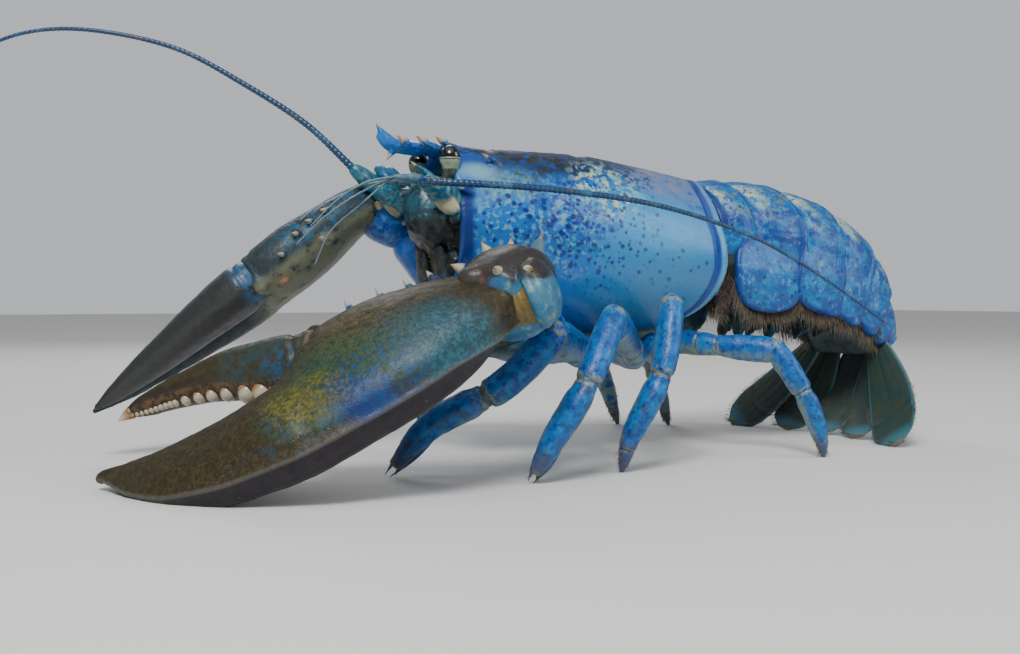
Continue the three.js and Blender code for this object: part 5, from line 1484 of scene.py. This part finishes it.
leg_skin = finish("leg_joint_skin", "#5f7078", [
    ("#8a8468", 0.7, mottle(2, 0.45, 0.62)),
], 0.5, 0.9, 0.3)
leg_finish = finish("leg_blue", "#1e74c0", [
    ("#4f9fe0", 0.6, mottle(4.5, 0.44, 0.6)),
    ("#0e4790", 0.75, mottle(3.0, 0.5, 0.6)),
    ("#3a5a78", 0.6, mottle(7, 0.5, 0.62), mask("foot", 0.2, 0.5)),
    ("#0c2c80", 0.75, dots(2.6, 0.36, 0.5)),
    ("#9fb8a8", 0.8, mask("under", 0.25, 0.65), mottle(4, 0.36, 0.56)),
    ("#b58a5c", 0.85, mottle(1.8, 0.6, 0.66), mask("knee", 0.2, 0.6)),
    ("#b0b890", 0.7, mask("knee", 0.78, 0.95), mottle(2.0, 0.42, 0.58)),
    ("#6a5a4a", 0.6, mask("foot", 0.75, 0.95)),
], 0.4, 1.0, 0.35, coat=0.06, shine=0.42)
bristle_roots = []

thigh = profile([[0, 5.6], [0.3, 5.3], [0.45, 4.5], [0.62, 5.6], [0.85, 5.8], [1, 4.2]])
shin = profile([[0, 4.3], [0.12, 5.4], [0.38, 5.1], [0.46, 4.2], [0.52, 4.9], [0.75, 4.3], [0.86, 3.2],
                [0.94, 2.2],
                [1, 0.9]])
LEG_COLS, ROW_STEP, KNEE_REACH = 34, 0.9, 0.06

for name, (*joints, thick, pincer) in leg_shapes.items():
    root, hip, knee, wrist, end, tip = [np.array(v, float) for v in joints]
    upper = Limb([root, hip, hip * 0.4 + knee * 0.6, knee + unit(knee - hip) * 2.0],
                 lambda t: [thigh(t) * thick * 0.82] * 2 + [thigh(t) * thick] * 2)
    lower = Limb([knee + unit(knee - wrist) * 2.6, wrist, end, tip],
                 lambda t: [shin(t) * thick] * 2 + [shin(t) * thick * 0.85] * 2, up=(1, 0, 0.2))
    forms, masks = [], {"knee": [], "foot": [], "under": []}

    def keep(form, **values):
        forms.append(form)
        for key in masks:
            masks[key].append(values.get(key, np.zeros(len(form[0]))))

    plan = [(upper, 0.0, 0.265, (1, 2)), (upper, 0.295, 0.435, (2, 1.5)), (upper, 0.465, 0.985, (2, 3)),
            (lower, 0.02, 0.41, (3, 2)), (lower, 0.45, 0.93 if pincer else 0.86, (2.2, 1))]
    for limb, start, stop, caps in plan if pincer else plan + [(lower, 0.875, 1.0, (1, 0))]:
        rows = max(8, int((stop - start) * limb.path.length / ROW_STEP))
        form = limb.skin(rows, LEG_COLS, caps=caps, span=(start, stop))
        form = carve(form, lambda p: 0.16 * noise(p, 2.6, 24) + 0.08 * noise(p, 1.3, 25))
        places = [t for t, _, _ in capped(start, stop, caps, np.linspace(start, stop, rows + 1))]
        place = np.concatenate([np.repeat(places, LEG_COLS), [start, stop]])
        ends = np.maximum(1 - np.abs(place - start) / KNEE_REACH, 1 - np.abs(place - stop) / KNEE_REACH)
        away = form[0] - limb.path.at(place)
        away /= np.maximum(np.linalg.norm(away, axis=1, keepdims=True), 0.01)
        under = 0.5 - 0.5 * (away @ np.array([0, 0.75 * np.sign(hip[1]), 0.66]))
        keep(form, knee=np.clip(ends, 0, 1), foot=place * (limb is lower), under=under)
    if pincer:
        along = unit(tip - end)
        across = unit(np.cross(along, (0, 1, 0)))
        for offset, reach, bow in ((2.4, 1.6, 1.6), (-1.6, -0.5, -1.0)):
            foot, claw_tip = end + across * offset * 0.9, tip + across * reach + (0, 0, 0.6)
            finger = spike(foot - along * 3, claw_tip, 2.0 * thick, 14, bend=across * bow)
            share = ((finger[0] - foot) @ along) / np.linalg.norm(claw_tip - foot)
            keep(finger, foot=np.clip(share * 0.25 + 0.75, 0, 1))
            way = along * 0.8 + across * np.sign(offset) * 0.5
            bristle_roots += [(foot + (claw_tip - foot) * k, way, 2.4) for k in np.linspace(0.1, 0.8, 8)]
    else:
        for k in np.linspace(0.78, 0.95, 10):
            at, _, over, along = lower.frame(k)
            bristle_roots += [(at + over * way * shin(k) * thick * 0.7, along * 0.9 + over * way * 0.5, 2.2)
                              for way in (-1, 1)]
    points, faces = join(forms)
    points[:, 2] = np.maximum(points[:, 2], 0.0)
    skins = []
    for limb, size, place, share in ((upper, thigh, 0.28, 0.8), (upper, thigh, 0.45, 0.8),
                                     (upper, thigh, 0.985, 0.72), (lower, shin, 0.43, 0.82)):
        radius = size(place) * thick * share
        skins.append(ball(limb.path.at(place), (radius, radius, radius), 10, 18) + (1,))
    make(f"{name}_limb", [(points, faces)] + skins, [leg_finish, leg_skin],
         [name + "_upper", name + "_lower"],
         {key: np.concatenate(values) for key, values in masks.items()})

# %% [markdown]
# ## Bristles
# Brown bristles fringe the lobes of the tail, the rims of the fan, the jaws and the tips of the legs. Each one is
# a thin closed cone of a few faces. Together they are three meshes. Every bristle gets its own small patch in
# a map named OFBake, at its root's place on the flank laid flat.

# %% Bristles
def bristles(name, roots, width=0.16, seed=1, droop=0.35):
    rng = np.random.default_rng(seed)
    points, faces, patches, tips = [], [], [], []
    for root, way, length in roots:
        root, way = np.array(root, float), np.array(way, float)
        way = unit(unit(way) + rng.normal(0, 0.13, 3))
        side = unit(np.cross(way, (0.3, 0.9, 0.2)))
        over = np.cross(side, way)
        bend = np.array([0, 0, -droop])
        size = length * rng.uniform(0.75, 1.15)
        start = len(points)
        for k, share in ((0, 1), (0.5, 0.75), (0.85, 0.4)):
            at = root + way * size * k + bend * size * k * k * 0.4
            for turn in (0.5, 2.6, 4.7):
                points.append(at + (side * math.cos(turn) + over * math.sin(turn)) * width * share)
                tips.append(k)
        points.append(root + way * size + bend * size * 0.4)
        tips.append(1)
        faces.append([start, start + 2, start + 1])
        for ring in (0, 3):
            for k in range(3):
                a, b = start + ring + k, start + ring + (k + 1) % 3
                faces.append([a, b, b + 3, a + 3])
        faces += [[start + 6 + k, start + 6 + (k + 1) % 3, start + 9] for k in range(3)]
        patches += [(root[0], root[2] + (200 if root[1] > 0 else 0))] * 10
    piece = make(name, [(np.array(points), faces)], [bristle_finish], [], {"tip": np.array(tips)})
    patches = (np.array(patches) - (-340, -10)) / (480, 480)
    rng = np.random.default_rng(seed + 50)
    jitter = rng.uniform(-0.0015, 0.0015, (len(patches), 2))
    layer = piece.data.uv_layers.new(name="OFBake")
    corners = read(piece.data.loops, "vertex_index", int)
    layer.data.foreach_set("uv", (patches + jitter)[corners].astype(np.float32).ravel())


bristle_finish = finish("bristle_brown", "#857868", [
    ("#c0b5a4", 0.8, mask("tip", 0.2, 0.9)),
    ("#64553f", 0.5, mottle(3, 0.45, 0.6)),
], 0.5, 0.8, 0.1)
rng = np.random.default_rng(11)
fringe = []
for index in range(1, 6):
    x, z, half, deep, c, s, flank = pleuron(index)
    for side in (-1, 1):
        for angle in np.radians(np.linspace(188, 352, int(26 * half))):
            share = rng.uniform(0.82, 0.97)
            a, b = [float(v) * share for v in section(angle, half, half, deep, deep, LOBE_POWER)]
            place = (x + a * c + b * s, side * (flank - rng.uniform(0.8, 3.4)), z - a * s + b * c)
            fringe.append((place, (0.25 * math.cos(angle) + 0.12, -0.1 * side, -1), rng.uniform(5.5, 10)))
for side in (-1, 1):
    for z in np.linspace(54, 72, 46):
        for row in range(4):
            fringe.append(((-17 + row * 2.2 - (74 - z) * 0.25, side * (24.6 - row), z),
                           (0.5, 0.2 * side, -0.8), rng.uniform(3, 5.5)))
bristles("tail_fringe", fringe, seed=2)
rim = [(at, way, 2.4) for at, way in rim_points for _ in range(6)]
rim = [(at + rng.normal(0, 0.7, 3) * (1, 1, 0.5), way, length) for at, way, length in rim]
rim = [(np.maximum(at, (-999, -999, 2.2)), way * (1, 1, 0.3), length) for at, way, length in rim]
bristles("fan_fringe", rim, width=0.07, seed=3, droop=0.0)
mouth = []
for word, side in SIDES:
    path = Path(jaw_lines[word])
    for k in np.linspace(0.35, 1, 60):
        at = path.at(k)
        for row in range(2):
            mouth.append((at + (-1.5 - row, -side * (2.5 - row * 0.5), 0.5), (-0.6, -0.5 * side, 0.5),
                          rng.uniform(1.5, 3)))
mouth += [(np.array(at) + rng.normal(0, 0.4, 3), way, length) for at, way,
          length in bristle_roots for _ in range(4)]
mouth = [(np.maximum(at, (-999, -999, 2.6)), way, length) for at, way, length in mouth]
bristles("mouth_and_foot_bristles", mouth, width=0.13, seed=4, droop=0.1)

# %% [markdown]
# ## Floor and light
# A pale floor and three soft lamps, as in a studio. The lamp in front and above draws the long highlights on
# the shell, and the two others keep the shadows open.

# %% Floor and light
floor_look = finish("floor_pale", (0.72, 0.71, 0.69, 1.0), [], 0.75, 4, 0.04)
corners = [(-4, -4, 0), (4, -4, 0), (4, 4, 0), (-4, 4, 0)]
floor = stand("floor", new_mesh("floor", corners, [(0, 1, 2, 3)]))
floor.data.materials.append(floor_look)


def lamp(name, place, aim, power, size):
    data = bpy.data.lights.new(name, "AREA")
    data.energy, data.size = power, size
    thing = stand(name, data)
    thing.location = place
    x, y, z = np.array(aim, float) - np.array(place, float)
    thing.rotation_euler = (math.atan2(math.hypot(x, y), -z), 0, math.atan2(y, x) - math.pi / 2)


lamp("main lamp", (-0.55, -0.7, 0.9), (0, 0, 0.06), 13, 0.35)
lamp("side lamp", (0.8, -0.75, 0.5), (0, 0, 0.06), 4, 0.6)
lamp("back lamp", (0.25, 0.9, 0.7), (0, 0, 0.08), 3.2, 0.5)
sky = stand("soft sky", bpy.data.lights.new("soft sky", "SUN"))
sky.data.energy, sky.data.angle = 0.9, math.radians(70)
sky.rotation_euler = (math.radians(24), math.radians(-16), 0)
bpy.context.scene.world = world = bpy.data.worlds.new("studio")
world.use_nodes = True
air, background = world.node_tree, world.node_tree.nodes["Background"].inputs
seen = wire(air, "LightPath").outputs["Is Camera Ray"]
feed(air, background["Color"], (0.9, 0.94, 1.0, 1.0))
feed(air, background["Strength"], wire(air, "MapRange", {"To Min": 0.25, "To Max": 0.62, "Value": seen}))
print("lamps:", [light.name for light in bpy.data.lights])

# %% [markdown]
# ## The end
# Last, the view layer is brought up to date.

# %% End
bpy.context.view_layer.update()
